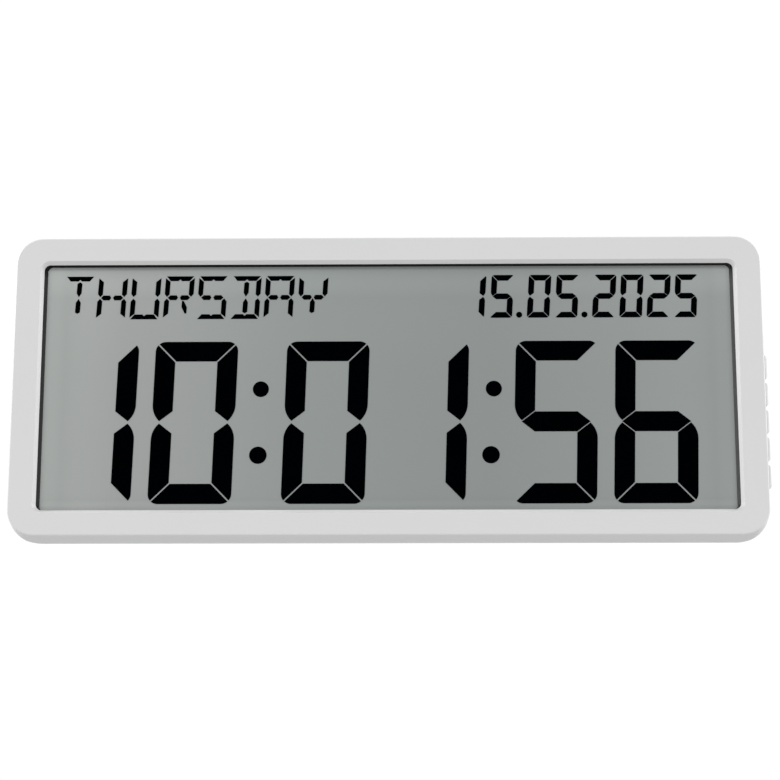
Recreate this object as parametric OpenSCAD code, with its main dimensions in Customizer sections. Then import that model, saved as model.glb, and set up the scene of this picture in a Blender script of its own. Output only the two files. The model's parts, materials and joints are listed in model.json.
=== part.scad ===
// Radio-controlled wall clock: a shallow white case round a wide reflective number display.
// The pieces are laid out with x to the right, y up and z from the front face to the wall.
// stand_up() turns that layout into the clock's own frame: +X right, +Y to the wall, +Z up,
// with the origin on the back plane, midway between the two keyholes.

/* [Case] */
// Width of the case at its front face, without the side buttons
case_w = 370; // [352:1:420]
// Height of the case at its front face
case_h = 150; // [147:1:175]
// Depth of the case, front face to wall plane
case_d = 28; // [27:0.5:34]
// Radius of the four corners of the front face
corner_r = 13; // [11.5:0.5:15]
// Spread of the side walls, from the front edge out to the flat rim at the parting line
wall_spread = 1.2; // [0:0.1:1.6]
// Width of that flat rim, which the clock stands on
rim_w = 3; // [2:0.1:4]
// Thickness of the side walls at the front edge and at the back edge
wall = 2.2; // [1.8:0.1:2.5]
// Thickness of the front frame's face
face_t = 2.2; // [2.1:0.1:2.8]
// Thickness of the rear cover's back plate
back_t = 2; // [1.7:0.1:2.4]
// Depth of the front bezel, front face to parting line
seam_depth = 16; // [15.6:0.1:17]
// Rounding of the front edge
front_edge_r = 0.8; // [0.5:0.1:2]
// Rounding of the back edge
back_edge_r = 2; // [1:0.1:3]
// Bevel on both sides of the parting line
seam_bevel = 0.3; // [0.1:0.1:0.6]
// Thickness of the tongue that keys the rear cover into the bezel
tongue_t = 1; // [0.8:0.1:1.2]
// Reach of that tongue into the bezel
tongue_l = 1.6; // [1:0.1:1.9]

/* [Window] */
// Width of the frame beside the window, at each end
side_border = 13.75; // [12.6:0.05:16]
// Width of the frame above the window
top_border = 13.35; // [12.6:0.05:16]
// Width of the frame below the window
bottom_border = 12.65; // [12.4:0.05:16]
// Radius of the window's corners
window_r = 3; // [1.5:0.5:5]
// Width of the sloped lip round the window
lip_w = 1.6; // [0.8:0.1:2.6]
// Depth of the sloped lip
lip_d = 2; // [1:0.1:2]

/* [Display] */
// Thickness of the black foam gasket between the frame and the display
gasket_t = 2.8; // [2:0.1:3]
// Gasket that shows inside the lip at the two ends
gasket_show_x = 1.2; // [0.2:0.1:2]
// Gasket that shows inside the lip at the top
gasket_show_top = 0.3; // [0.1:0.1:1]
// Distance that the gasket stands back behind the lip at the bottom
gasket_low_back = 0.4; // [0.1:0.1:1]
// Overlap of the display glass behind the frame, on each side
glass_overlap = 2.25; // [1.5:0.05:2.6]
// Thickness of each of the two glass plates
glass_t = 1.1; // [0.7:0.1:1.1]
// Height of the contact ledge along the bottom of the front glass
ledge_h = 4; // [3.6:0.1:5]
// Thickness of the front polariser film
polariser_t = 0.25; // [0.15:0.05:0.3]
// Thickness of the reflector film
reflector_t = 0.25; // [0.15:0.05:0.3]
// Thickness of the lit image
image_t = 0.1; // [0.05:0.05:0.2]
// Thickness of the frame that clamps the display
retainer_t = 4.3; // [3.8:0.1:4.4]
// Thickness of the rubber connector strip
zebra_t = 3; // [2:0.1:3.2]
// Distance from each end of the main board to the end of the rubber connector strip
zebra_end_gap = 15; // [8:1:60]

/* [Numbers] */
// Left margin of the time row, inside the window
time_left = 4.75; // [3:0.05:10]
// Right margin of the time row, inside the window
time_right = 20.2; // [10:0.05:28]
// Margin below the time row, inside the window
time_low = 3.5; // [2:0.05:8]
// Gap between the two numbers of a pair
digit_gap = 8.3; // [5:0.05:12]
// Gap between the hours and the minutes, which holds two dots
hours_gap = 24.25; // [16:0.05:30]
// Gap between the minutes and the seconds, which holds two dots
minutes_gap = 23.1; // [16:0.05:30]
// Width of the strokes of the time numbers
digit_stroke = 10; // [7:0.25:10.5]
// Slit between the strokes of a time number
digit_slit = 0.7; // [0.4:0.05:1.2]
// Radius of the upper dots of the time row
colon_high_r = 3.95; // [2:0.05:5]
// Radius of the lower dots of the time row
colon_low_r = 4.3; // [2:0.05:5]
// Distance of the upper dot after the minutes from the middle of its gap
seconds_high_shift = 1.1; // [-2:0.1:2]
// Distance of the lower dot after the minutes from the middle of its gap
seconds_low_shift = 0.4; // [-2:0.1:2]
// Distance between the upper and the lower dot
colon_spread = 33.2; // [20:0.2:40]
// Gap between the time row and the date row
row_gap = 11.9; // [8:0.1:16]
// Height of the date numbers
date_h = 22; // [14:0.1:24]
// Width of one date number
date_w = 11.2; // [8:0.1:12]
// Width of the strokes of the date numbers
date_stroke = 2.9; // [1.5:0.1:3.2]
// Slit between the strokes of a date number
date_slit = 0.3; // [0.2:0.05:0.5]
// Margin above the date row, inside the window
date_top = 5.05; // [3:0.05:9]
// Right margin of the date row, inside the window
date_right = 18.3; // [6:0.05:28]
// Gap between the two numbers of the day and of the month
date_gap = 2.65; // [1.5:0.05:4]
// Gap between the numbers of the year
year_gap = 2.3; // [1.5:0.05:4]
// Gap that holds a dot of the date row
date_dot_gap = 7.3; // [5:0.1:9]
// Radius of the dots of the date row
date_dot_r = 1.5; // [0.8:0.05:1.8]
// Lean of the time numbers, sideways for each unit of height
time_lean = 0.03; // [0:0.01:0.1]
// Lean of the date numbers, sideways for each unit of height
date_lean = 0.065; // [0:0.005:0.1]

/* [Buttons] */
// Number of side buttons is five; this is the distance between neighbours
button_pitch = 13.8; // [13.4:0.1:15]
// Length of a button's cap
button_l = 12; // [8:0.1:12.2]
// Width of a button's cap, across the depth of the case
button_w = 6.4; // [4:0.1:6.6]
// Height of the caps above the side wall
button_proud = 2.65; // [1:0.05:4]
// Travel of a button
button_travel = 0.5; // [0.2:0.1:0.6]
// Middle of the button row, below the middle of the case
button_row_drop = 17.6; // [10:0.1:20]

/* [Battery bay] */
// Diameter of a cell
cell_d = 14.5; // [10.5:0.1:14.5]
// Length of a cell with its nub
cell_l = 50.5; // [44.5:0.1:50.5]
// Length of a battery spring under load
spring_l = 6; // [5:0.1:7]
// Radius of the spring wire
spring_wire_r = 0.35; // [0.25:0.05:0.4]
// Thickness of the contact plates
contact_t = 0.4; // [0.3:0.1:0.6]
// Thickness of the bay's walls and floor
bay_wall = 1.4; // [1.2:0.1:1.8]
// Middle of the bay, below the middle of the case
bay_drop = 2; // [0:0.5:6]
// Thickness of the battery door
door_t = 1.8; // [1.4:0.1:1.8]

/* [Wall fixing and feet] */
// Distance between the two keyholes
keyhole_pitch = 200; // [190:5:230]
// Height of the keyholes above the middle of the case
keyhole_rise = 45; // [40:0.5:46]
// Radius of a keyhole's round entry
keyhole_r = 4.5; // [4:0.1:5]
// Width of a keyhole's slot
keyhole_slot_w = 4.5; // [3.5:0.1:4.5]
// Length of a keyhole's slot, from the middle of the entry to the middle of its end
keyhole_slot_l = 9; // [6:0.5:10]
// Distance from the middle of the case to the middle of each foot
foot_x = 110; // [90:1:125]
// Width of a foot
foot_w = 15; // [10:0.5:18]
// Length of a foot, hinge to tip
foot_l = 50; // [40:0.5:52]
// Radius of a foot's hinge end
foot_hinge_r = 3; // [2.6:0.1:3.2]
// Height of a foot's hinge above the case's lower edge
foot_hinge_rise = 9; // [8.5:0.1:12]

/* [Electronics] */
// Thickness of the circuit boards
board_t = 1.6; // [1:0.1:1.6]
// Distance from the side of the case to the end of the main board
board_end_gap = 20; // [18:0.5:40]
// Diameter of the aerial's ferrite rod
ferrite_d = 9; // [7:0.5:9]
// Length of the aerial's ferrite rod
ferrite_l = 70; // [60:1:90]
// Diameter of the aerial's winding
winding_d = 12.4; // [10:0.2:12.6]
// Length of the aerial's winding
winding_l = 25; // [15:1:40]
// Radius of the case screws' thread
case_screw_r = 1.35; // [1:0.05:1.5]
// Radius of the small screws' thread
small_screw_r = 1; // [0.8:0.05:1.1]
// Radius of the lead wires
lead_r = 0.6; // [0.4:0.1:0.7]

/* [Hidden] */

// Gap between pieces that drop into place
fit = 0.3;
// Gap between pieces that lie on each other
seat_gap = 0.1;
// Radial gap of a pin or screw in its hole
pin_gap = 0.05;
// Overshoot of a cut past the face it opens
over = 1;
// Sink of a boss or rib into the plate that carries it
root = 0.5;
$fn = 48;

// Window and display stack, front to back
window_w = case_w - 2 * side_border;
window_h = case_h - top_border - bottom_border;
window_y = (bottom_border - top_border) / 2;
glass_w = window_w + 2 * glass_overlap;
glass_h = window_h + 2 * glass_overlap;
glass_top = window_y + glass_h / 2;
glass_bottom = window_y - glass_h / 2;
rear_glass_h = glass_h - ledge_h;
rear_glass_y = window_y + ledge_h / 2;
film_inset = 1;
polariser_z = face_t + gasket_t;
front_glass_z = polariser_z + polariser_t;
rear_glass_z = front_glass_z + glass_t;
reflector_z = rear_glass_z + glass_t;
retainer_z = reflector_z + reflector_t;
board_z = retainer_z + retainer_t;
board_back = board_z + board_t;

// Image of the display: the numbers fill what the margins and gaps leave of the window
digit_count = 6;
date_count = 8;
digit_w = (window_w - time_left - time_right - 3 * digit_gap - hours_gap - minutes_gap) / digit_count;
digit_h = window_h - time_low - row_gap - date_h - date_top;
time_y = window_y - window_h / 2 + time_low;
date_y = window_y + window_h / 2 - date_top - date_h;
date_dot_step = 3.6;
// Shape of a stroke, as shares of its width: outer corners, the bow into its point, and that point
corner_share = 0.5;
bow_share = 1.1;
point_share = 0.36;
// Distance of a side stroke's point from mid-height, in slits
point_slits = 0.85;

// Frame that clamps the display, and its screwed ears
retainer_side = 10;
retainer_top = 12;
retainer_foot = 20;
retainer_inset = 0.5;
retainer_hole_floor = 0.6;
ear_r = 3.2;
ear_t = 2;
ear_wall_gap = 1.25;
ear_end_gap = 43.5;
ear_inner_x = 45;
ear_outer_x = glass_w / 2 - ear_end_gap;
ear_xs = [-ear_outer_x, -ear_inner_x, ear_inner_x, ear_outer_x];
ear_y = case_h / 2 - wall - ear_wall_gap - ear_r;
retainer_bottom = glass_bottom + ledge_h;

// Bosses of the bezel
boss_r = 2.8;
small_boss_r = 2.6;
boss_inset = 8.2;
mid_boss_inset = 6.8;
mid_boss_y = case_h / 2 - mid_boss_inset;
case_boss_spots = [
    for (sx = [-1, 1], sy = [-1, 1]) [sx * (case_w / 2 - boss_inset), sy * (case_h / 2 - boss_inset)],
    for (sy = [-1, 1]) [0, sy * mid_boss_y]];
case_screw_l = 10;
case_screw_head_r = 2.7;
case_screw_head_h = 2;
sleeve_r = 4.8;
sleeve_floor = 2;
sleeve_bore_r = 3;
tongue_gap = 0.15;
tongue_root = 2;
// Room that the tongue leaves round the button board
relief_margin = 1.5;
relief_run = 3;
// Ribs that keep the glass in place
rib_t = 1.2;
rib_l = 20;
rib_x = 90;
rib_x_shift = 12;
rib_y = 36;

// Main board: screwed to the bezel along its lower edge and to the retainer along its upper edge
board_w = case_w - 2 * board_end_gap;
zebra_l = board_w - 2 * zebra_end_gap;
board_top_gap = 1.15;
board_top = retainer_bottom + retainer_foot - board_top_gap;
board_bottom = tongue_t + tongue_gap + wall + fit - case_h / 2;
high_screw_inset = 4;
board_low_screw_y = board_bottom + small_boss_r;
board_high_screw_y = board_top - high_screw_inset;
low_screw_end_gap = 25;
low_screw_inner_x = 60;
low_screw_outer_x = board_w / 2 - low_screw_end_gap;
board_low_screw_xs = [-low_screw_outer_x, -low_screw_inner_x, low_screw_inner_x, low_screw_outer_x];
high_screw_end_gap = 15;
high_screw_inner_x = 50;
high_screw_outer_x = board_w / 2 - high_screw_end_gap;
board_high_screw_xs = [-high_screw_outer_x, -high_screw_inner_x, high_screw_inner_x, high_screw_outer_x];
board_screw_spots = [
    for (x = board_low_screw_xs) [x, board_low_screw_y],
    for (x = board_high_screw_xs) [x, board_high_screw_y]];
board_notch_gap = 0.8;
// Height of the loose leads above the main board
lead_lane = 3.4;
// Length of a lead's end that stands on its pad
lead_end = 2;
// Distance from the board's upper edge to the pads of the leads
lead_pad_inset = 4;
// Radial gap of a screw in a clearance hole
small_screw_gap = 0.2;
case_screw_gap = 0.35;
small_head_r = 2;
small_head_h = 1.4;
small_screw_l = 5;

// Side buttons, switches and their board
button_count = 5;
button_back_gap = 0.6;
button_z = seam_depth - button_back_gap - button_w / 2;
button_gap = 0.25;
// Rounding of a cap along its length and across its width
cap_r_long = 1.9;
cap_r_across = 1.5;
wall_in_x = case_w / 2 - wall;
flange_t = 1.2;
flange_gap = 0.2;
flange_rim_y = 0.6;
flange_rim_z = 0.9;
nub_h = 0.45;
nub_r = 1.5;
plunger_r = 1.75;
plunger_out = 0.8;
switch_side = 6;
switch_h = 3.5;
plunger_in = 1.1;
plunger_play = 0.1;
flange_x = wall_in_x - flange_gap - flange_t;
plunger_tip_x = flange_x - nub_h - pin_gap;
switch_top_x = plunger_tip_x - plunger_out;
button_board_x = switch_top_x - switch_h - board_t;
button_board_end = 8.4;
button_board_front = 3.7;
button_board_back = 4.8;
function button_y(i) = -button_row_drop + button_pitch * ((button_count + 1) / 2 - i);
button_board_top = button_y(1) + button_board_end;
button_board_bottom = button_y(button_count) - button_board_end;

// Battery bay: two cells side by side, nubs at opposite ends
cell_nub_r = 2.75;
cell_nub_l = 1.5;
cell_gap = 1;
cell_play = 0.15;
cell_rib_h = 4.3;
cell_door_gap = 0.45;
cell_z = case_d - door_t - cell_door_gap - cell_d / 2;
cell_pitch = cell_d + cell_gap;
bay_y = -bay_drop;
bay_l = 2 * contact_t + spring_l + cell_l + 2 * cell_play;
bay_low = bay_y - cell_pitch / 2 - cell_d / 2 - fit;
tab_reach = 1.6;
tab_t = 1.3;
tab_w = 8;
tab_x = 18;
tab_gap = 0.15;
tab_room = 0.4;
cell_top_gap = 0.2;
door_top = bay_y + cell_pitch / 2 + cell_d / 2 + cell_top_gap;
bay_high = door_top + tab_reach + tab_room;
bay_floor = cell_z - cell_d / 2 - fit;
door_ledge = 1;
door_gap = 0.25;
door_low = bay_low - door_ledge + door_gap;
door_half_w = bay_l / 2 + door_ledge - door_gap;
// Finger scoop in the back plate, below the door's latch
scoop_r = 8;
contact_w = 10;
contact_h = 11;
tail_w = 2;
tail_l = 5;
tail_rise = 2;
spring_turns = 3.5;
spring_wide_r = 4.5;
spring_tight_r = 2.8;

// Keyholes, feet and their pockets
keyhole_y = keyhole_rise;
keyhole_pocket_d = 7;
keyhole_pocket_margin = 2;
pocket_wall = 1.2;
foot_hinge_y = -case_h / 2 + foot_hinge_rise;
foot_hinge_z = case_d - foot_hinge_r;
foot_t = 2 * foot_hinge_r;
foot_skin = 1.8;
foot_tip_r = 2;
foot_side_gap = 0.3;
foot_swing_gap = 0.8;
foot_floor_gap = 0.4;
foot_pocket_wall = 2.4;
foot_pin_r = 1.5;
foot_pin_l = 1.5;

// Aerial and receiver, just below the upper middle boss
aerial_gap = 1.2;
aerial_y = mid_boss_y - sleeve_r - aerial_gap - winding_d / 2;
aerial_lift = 7;
aerial_z = case_d - back_t - aerial_lift;
saddle_x = 30;
saddle_t = 4;
saddle_arm = 2.2;
saddle_grip = 3;
// Reach of each saddle arm over the rod
saddle_bite = 0.72;
receiver_x = 67;
receiver_rise = 1;
receiver_y = aerial_y + receiver_rise;
receiver_w = 24;
receiver_h = 14;
receiver_t = 1;
receiver_lift = 6;
receiver_z = case_d - back_t - receiver_lift;
receiver_post_x = 9;
receiver_post_r = 2;
receiver_pin_r = 0.8;
receiver_pin_proud = 0.6;
receiver_pad_inset = 2;

// Points along an arc, from angle a0 to a1
function arc(c, r, a0, a1, steps = 6) =
    [for (i = [0:steps]) let (a = a0 + (a1 - a0) * i / steps) c + r * [cos(a), sin(a)]];

function unit(v) = v / norm(v);

// Turns the layout into the clock's own frame
module stand_up() {
    translate([0, -case_d, -keyhole_y]) rotate([90, 0, 0]) mirror([0, 0, 1]) children();
}

// A flat profile swept round a rounded rectangle; its x runs outwards from the corner centres
module round_sweep(w, h, r) {
    for (q = [0:3]) {
        sx = (q == 0 || q == 3) ? 1 : -1;
        sy = (q < 2) ? 1 : -1;
        reach = (q % 2 == 0 ? w : h) / 2 - r;
        span = (q % 2 == 0 ? h : w) - 2 * r;
        translate([sx * (w / 2 - r), sy * (h / 2 - r), 0])
            rotate([0, 0, 90 * q]) rotate_extrude(angle = 90) children();
        rotate([0, 0, 90 * q]) translate([reach, 0, 0])
            rotate([90, 0, 0]) linear_extrude(span, center = true) children();
    }
}

// A slab that fills the space between the corner centres
module core_slab(w, h, r, d) {
    translate([r - w / 2, r - h / 2, 0]) cube([w - 2 * r, h - 2 * r, d]);
}

// A block with rounded corners
module rounded_block(w, h, r, d) {
    round_sweep(w, h, r) square([r, d]);
    core_slab(w, h, r, d);
}

// A box given by its middle in x and y and its lower z
module block(x, y, z, w, h, d) {
    translate([x - w / 2, y - h / 2, z]) cube([w, h, d]);
}

// A rod along x
module rod_x(x0, x1, y, z, r) {
    translate([x0, y, z]) rotate([0, 90, 0]) cylinder(r = r, h = x1 - x0);
}

// Directions and side vectors along a route, for a tube that doesn't twist
function route_dirs(p) = [for (i = [0:len(p) - 1])
    unit((i > 0 ? unit(p[i] - p[i - 1]) : [0, 0, 0])
        + (i < len(p) - 1 ? unit(p[i + 1] - p[i]) : [0, 0, 0]))];
function route_sides(d) =
    let (first = abs(d[0][2]) < 0.9 ? [0, 0, 1] : [1, 0, 0])
    [for (i = 0, s = unit(first - (first * d[0]) * d[0]); i < len(d);
        i = i + 1, s = i < len(d) ? unit(s - (s * d[i]) * d[i]) : s) s];

// A tube along a route
module tube(p, r, sides = 6) {
    d = route_dirs(p);
    s = route_sides(d);
    last = (len(p) - 1) * sides;
    points = [for (i = [0:len(p) - 1], k = [0:sides - 1])
        let (a = 360 * k / sides) p[i] + r * (cos(a) * s[i] + sin(a) * cross(d[i], s[i]))];
    walls = [for (i = [0:len(p) - 2], k = [0:sides - 1])
        let (a = i * sides + k, b = i * sides + (k + 1) % sides)
        each [[a, a + sides, b + sides], [a, b + sides, b]]];
    start_cap = [for (k = [1:sides - 2]) [0, k, k + 1]];
    end_cap = [for (k = [1:sides - 2]) [last, last + k + 1, last + k]];
    polyhedron(points, concat(walls, start_cap, end_cap));
}

// Radius of the corners at the parting line
seam_r = corner_r + wall_spread;

// Bezel: front frame, side wall and parting bevel
function bezel_profile() = concat(
    [[0, 0]],
    arc([corner_r - front_edge_r, front_edge_r], front_edge_r, 270, 360),
    [[seam_r, seam_depth - rim_w], [seam_r, seam_depth - seam_bevel],
     [seam_r - seam_bevel, seam_depth],
     [corner_r - wall, seam_depth], [corner_r - wall, face_t], [0, face_t]]);

// Sloped lip round the window, open to the front
function lip_profile() = [
    [window_r - over, -over], [window_r + lip_w * (1 + over / lip_d), -over],
    [window_r, lip_d], [window_r - over, lip_d]];

// Boss on the bezel's inner face
module bezel_boss(x, y, r, top) {
    translate([x, y, face_t - root]) cylinder(r = r, h = top - face_t + root);
}

// Short ribs that keep the glass in place
module glass_ribs() {
    rib_h = reflector_z - face_t + root;
    off = fit + rib_t / 2;
    for (x = [-rib_x, rib_x]) {
        block(x, glass_top + off, face_t - root, rib_l, rib_t, rib_h);
        block(x + rib_x_shift, glass_bottom - off, face_t - root, rib_l, rib_t, rib_h);
    }
    for (sx = [-1, 1], y = [-rib_y, rib_y])
        block(sx * (glass_w / 2 + off), y, face_t - root, rib_t, rib_l, rib_h);
}

// Slotted posts that hold the ends of the button board
module board_posts() {
    margin = 1.2;
    grip = 1.6;
    for (end = [button_board_top, button_board_bottom]) {
        inward = end == button_board_top ? -1 : 1;
        difference() {
            block(button_board_x + board_t / 2, end, face_t - root,
                board_t + 2 * margin, 2 * grip, seam_depth - face_t + root);
            block(button_board_x + board_t / 2, end + inward * (grip + over) / 2 - inward * seat_gap,
                button_z - button_board_front - seat_gap, board_t + 2 * seat_gap, grip + over, case_d);
        }
    }
}

module front_bezel() color([0.86, 0.86, 0.86]) difference() {
    union() {
        round_sweep(case_w, case_h, corner_r) polygon(bezel_profile());
        core_slab(case_w, case_h, corner_r, face_t);
        for (s = case_boss_spots) bezel_boss(s[0], s[1], boss_r, seam_depth);
        for (x = ear_xs) bezel_boss(x, ear_y, boss_r, retainer_z);
        for (x = board_low_screw_xs) bezel_boss(x, board_low_screw_y, small_boss_r, board_z);
        glass_ribs();
        board_posts();
    }
    translate([0, window_y, -over]) rounded_block(window_w, window_h, window_r, face_t + 2 * over);
    translate([0, window_y, 0]) round_sweep(window_w, window_h, window_r) polygon(lip_profile());
    for (s = case_boss_spots)
        translate([s[0], s[1], seam_depth - case_screw_l])
            cylinder(r = case_screw_r + pin_gap, h = case_screw_l + over);
    for (x = ear_xs)
        translate([x, ear_y, retainer_z - small_screw_l + ear_t - fit])
            cylinder(r = small_screw_r + pin_gap, h = small_screw_l);
    for (x = board_low_screw_xs)
        translate([x, board_low_screw_y, board_z - small_screw_l])
            cylinder(r = small_screw_r + pin_gap, h = small_screw_l + over);
    for (i = [1:button_count])
        block(case_w / 2, button_y(i), button_z - button_w / 2 - button_gap,
            2 * (wall + wall_spread), button_l + 2 * button_gap, case_d);
}

// Rear cover: back plate, side wall, parting bevel and tongue
function cover_profile() = let (
    tongue_out = corner_r - wall - tongue_gap,
    tongue_in = tongue_out - tongue_t,
    back_in = case_d - back_t) concat(
    [[0, back_in], [corner_r - wall, back_in], [corner_r - wall, seam_depth + tongue_root],
     [tongue_in, seam_depth + tongue_root], [tongue_in, seam_depth - tongue_l],
     [tongue_out, seam_depth - tongue_l], [tongue_out, seam_depth],
     [seam_r - seam_bevel, seam_depth], [seam_r, seam_depth + seam_bevel]],
    arc([corner_r - back_edge_r, case_d - back_edge_r], back_edge_r, 0, 90),
    [[0, case_d]]);

// Outside of the closed pocket behind a keyhole
module keyhole_pocket(grow, z0, z1) {
    low = keyhole_r + keyhole_pocket_margin;
    high = keyhole_slot_l + keyhole_slot_w / 2 + keyhole_pocket_margin;
    block(0, (high - low) / 2, z0, 2 * (low + grow), low + high + 2 * grow, z1 - z0);
}

// Round entry and slot of a keyhole
module keyhole_cut() {
    depth = back_t + 2 * over;
    translate([0, 0, case_d - back_t - over]) {
        cylinder(r = keyhole_r, h = depth);
        translate([-keyhole_slot_w / 2, 0, 0]) cube([keyhole_slot_w, keyhole_slot_l, depth]);
        translate([0, keyhole_slot_l, 0]) cylinder(r = keyhole_slot_w / 2, h = depth);
    }
}

// Space that a folded foot lies in; grow is the wall round it
module foot_pocket(grow, z1) {
    low = foot_hinge_y - foot_hinge_r - foot_swing_gap;
    high = foot_hinge_y + foot_l + foot_swing_gap;
    inner_w = foot_w + 2 * foot_side_gap;
    floor_z = case_d - foot_t - foot_floor_gap;
    block(0, (low + high) / 2, floor_z - min(grow, pocket_wall), inner_w + 2 * grow,
        high - low + 2 * min(grow, pocket_wall), z1 - floor_z + min(grow, pocket_wall));
}

// Space inside the battery bay
module bay_space(grow, z0, z1) {
    block(0, (bay_low + bay_high) / 2, z0, bay_l + 2 * grow, bay_high - bay_low + 2 * grow, z1 - z0);
}

// Saddle that the ferrite rod snaps into
module rod_saddle(x) {
    outer = ferrite_d / 2 + saddle_arm;
    back_in = case_d - back_t;
    mouth = ferrite_d / 2 - saddle_bite;
    difference() {
        block(x, aerial_y, aerial_z - saddle_grip, saddle_t, 2 * outer,
            back_in - aerial_z + saddle_grip + root);
        rod_x(x - saddle_t, x + saddle_t, aerial_y, aerial_z, ferrite_d / 2 + seat_gap);
        block(x, aerial_y, aerial_z - ferrite_d, saddle_t + 2 * over, 2 * mouth, ferrite_d);
    }
}

// Post with a pin that the receiver board is pressed on to
module receiver_post(x) {
    back_in = case_d - back_t;
    top = receiver_z + receiver_t;
    translate([x, receiver_y, top]) cylinder(r = receiver_post_r, h = back_in - top + root);
    translate([x, receiver_y, receiver_z - receiver_pin_proud])
        cylinder(r = receiver_pin_r, h = back_in - receiver_z);
}

module rear_cover() color([0.84, 0.84, 0.84]) difference() {
    back_in = case_d - back_t;
    union() {
        round_sweep(case_w, case_h, corner_r) polygon(cover_profile());
        translate([0, 0, back_in]) core_slab(case_w, case_h, corner_r, back_t);
        for (s = case_boss_spots)
            translate([s[0], s[1], seam_depth]) cylinder(r = sleeve_r, h = back_in - seam_depth + root);
        bay_space(bay_wall, bay_floor - bay_wall, back_in + root);
        for (sx = [-1, 1]) {
            translate([sx * keyhole_pitch / 2, keyhole_y, 0])
                keyhole_pocket(pocket_wall, back_in - keyhole_pocket_d - pocket_wall, back_in + root);
            translate([sx * foot_x, 0, 0]) foot_pocket(foot_pocket_wall, back_in + root);
            rod_saddle(sx * saddle_x);
            receiver_post(receiver_x + sx * receiver_post_x);
        }
    }
    for (s = case_boss_spots) translate([s[0], s[1], 0]) {
        translate([0, 0, seam_depth - over]) cylinder(r = case_screw_r + case_screw_gap, h = case_d);
        translate([0, 0, seam_depth + sleeve_floor]) cylinder(r = sleeve_bore_r, h = case_d);
    }
    difference() {
        bay_space(0, bay_floor, back_in);
        block(0, bay_y, bay_floor - over, bay_l - 2 * spring_l,
            cell_gap - 2 * seat_gap, cell_rib_h + over);
    }
    block(0, (door_top + door_low) / 2, back_in,
        2 * (door_half_w + door_gap), door_top - door_low + 2 * door_gap, back_t + over);
    translate([0, door_low - door_gap, case_d - back_t / 2]) cylinder(r = scoop_r, h = back_t);
    for (y = [bay_y - cell_pitch / 2, bay_y + cell_pitch / 2])
        block(-bay_l / 2, y, bay_floor + tail_rise - seat_gap,
            3 * bay_wall, tail_w + 2 * seat_gap, contact_t + 2 * seat_gap);
    for (sx = [-1, 1]) {
        translate([sx * keyhole_pitch / 2, keyhole_y, 0]) {
            keyhole_pocket(0, back_in - keyhole_pocket_d, back_in);
            keyhole_cut();
        }
        translate([sx * foot_x, 0, 0]) {
            foot_pocket(0, case_d + over);
            hinge_half = foot_w / 2 + foot_side_gap + foot_pin_l + pin_gap;
            rod_x(-hinge_half, hinge_half, foot_hinge_y, foot_hinge_z, foot_pin_r + pin_gap);
        }
    }
    relief_w = 2 * (tongue_t + relief_margin);
    relief_y = (button_board_top + button_board_bottom) / 2;
    relief_l = button_board_top - button_board_bottom + 2 * relief_run;
    block(wall_in_x, relief_y, seam_depth - tongue_l - over, relief_w, relief_l, tongue_l + over);
    block(wall_in_x - relief_w / 2, relief_y, seam_depth - over,
        relief_w, relief_l, tongue_root + 2 * over);
}

// Gasket, glass and films of the display
module display_gasket() color([0.06, 0.06, 0.06]) translate([0, window_y, face_t]) difference() {
    opening_w = window_w - 2 * gasket_show_x;
    opening_h = window_h - gasket_show_top + gasket_low_back;
    block(0, 0, 0, glass_w, glass_h, gasket_t);
    block(0, -(gasket_show_top + gasket_low_back) / 2, -over, opening_w, opening_h, gasket_t + 2 * over);
}

module lcd_front_polariser() color([0.6, 0.62, 0.61])
    block(0, window_y, polariser_z, glass_w - 2 * film_inset, glass_h - 2 * film_inset, polariser_t);

module lcd_front_glass() color([0.75, 0.8, 0.78])
    block(0, window_y, front_glass_z, glass_w, glass_h, glass_t);

module lcd_rear_glass() color([0.72, 0.78, 0.76])
    block(0, rear_glass_y, rear_glass_z, glass_w, rear_glass_h, glass_t);

module lcd_reflector() color([0.78, 0.78, 0.74])
    block(0, rear_glass_y, reflector_z,
        glass_w - 2 * film_inset, rear_glass_h - 2 * film_inset, reflector_t);

// Number strokes of a seven-stroke cell, in a box of w by h before it leans
function tilt(points, lean) = [for (p = points) [p[0] + lean * p[1], p[1]]];
function flip_x(points, w) = [for (p = points) [w - p[0], p[1]]];
function flip_y(points, h) = [for (p = points) [p[0], h - p[1]]];

// Top stroke, with rounded outer corners and mitred ends
function top_stroke(w, h, t, g) = let (r = t * corner_share, cut = asin(g / 2 / r)) concat(
    arc([r, h - r], r, 135 - cut, 90),
    arc([w - r, h - r], r, 90, 45 + cut),
    [[w - t - g / sqrt(2), h - t], [t + g / sqrt(2), h - t]]);

// Upper left stroke, mitred at the top and bowed to a point near mid-height
function side_stroke(w, h, t, g) = let (
    r = t * corner_share,
    cut = asin(g / 2 / r),
    bow = t * bow_share,
    turn = acos(1 - point_share / bow_share),
    point_y = h / 2 + point_slits * g) concat(
    [[t, h - t - g / sqrt(2)]],
    arc([r, h - r], r, 135 + cut, 180),
    arc([bow, point_y + bow * sin(turn)], bow, 180, 180 + turn),
    [[t, point_y + t / 2]]);

// Middle stroke, pointed at both ends
function middle_stroke(w, h, t) = let (tip = t * point_share) [
    [tip, h / 2], [t, h / 2 + t / 2], [w - t, h / 2 + t / 2],
    [w - tip, h / 2], [w - t, h / 2 - t / 2], [t, h / 2 - t / 2]];

// Strokes in the order top, upper right, lower right, bottom, lower left, upper left, middle
function strokes(w, h, t, g) = let (a = top_stroke(w, h, t, g), f = side_stroke(w, h, t, g)) [
    a, flip_x(f, w), flip_x(flip_y(f, h), w), flip_y(a, h), flip_y(f, h), f, middle_stroke(w, h, t)];

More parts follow.
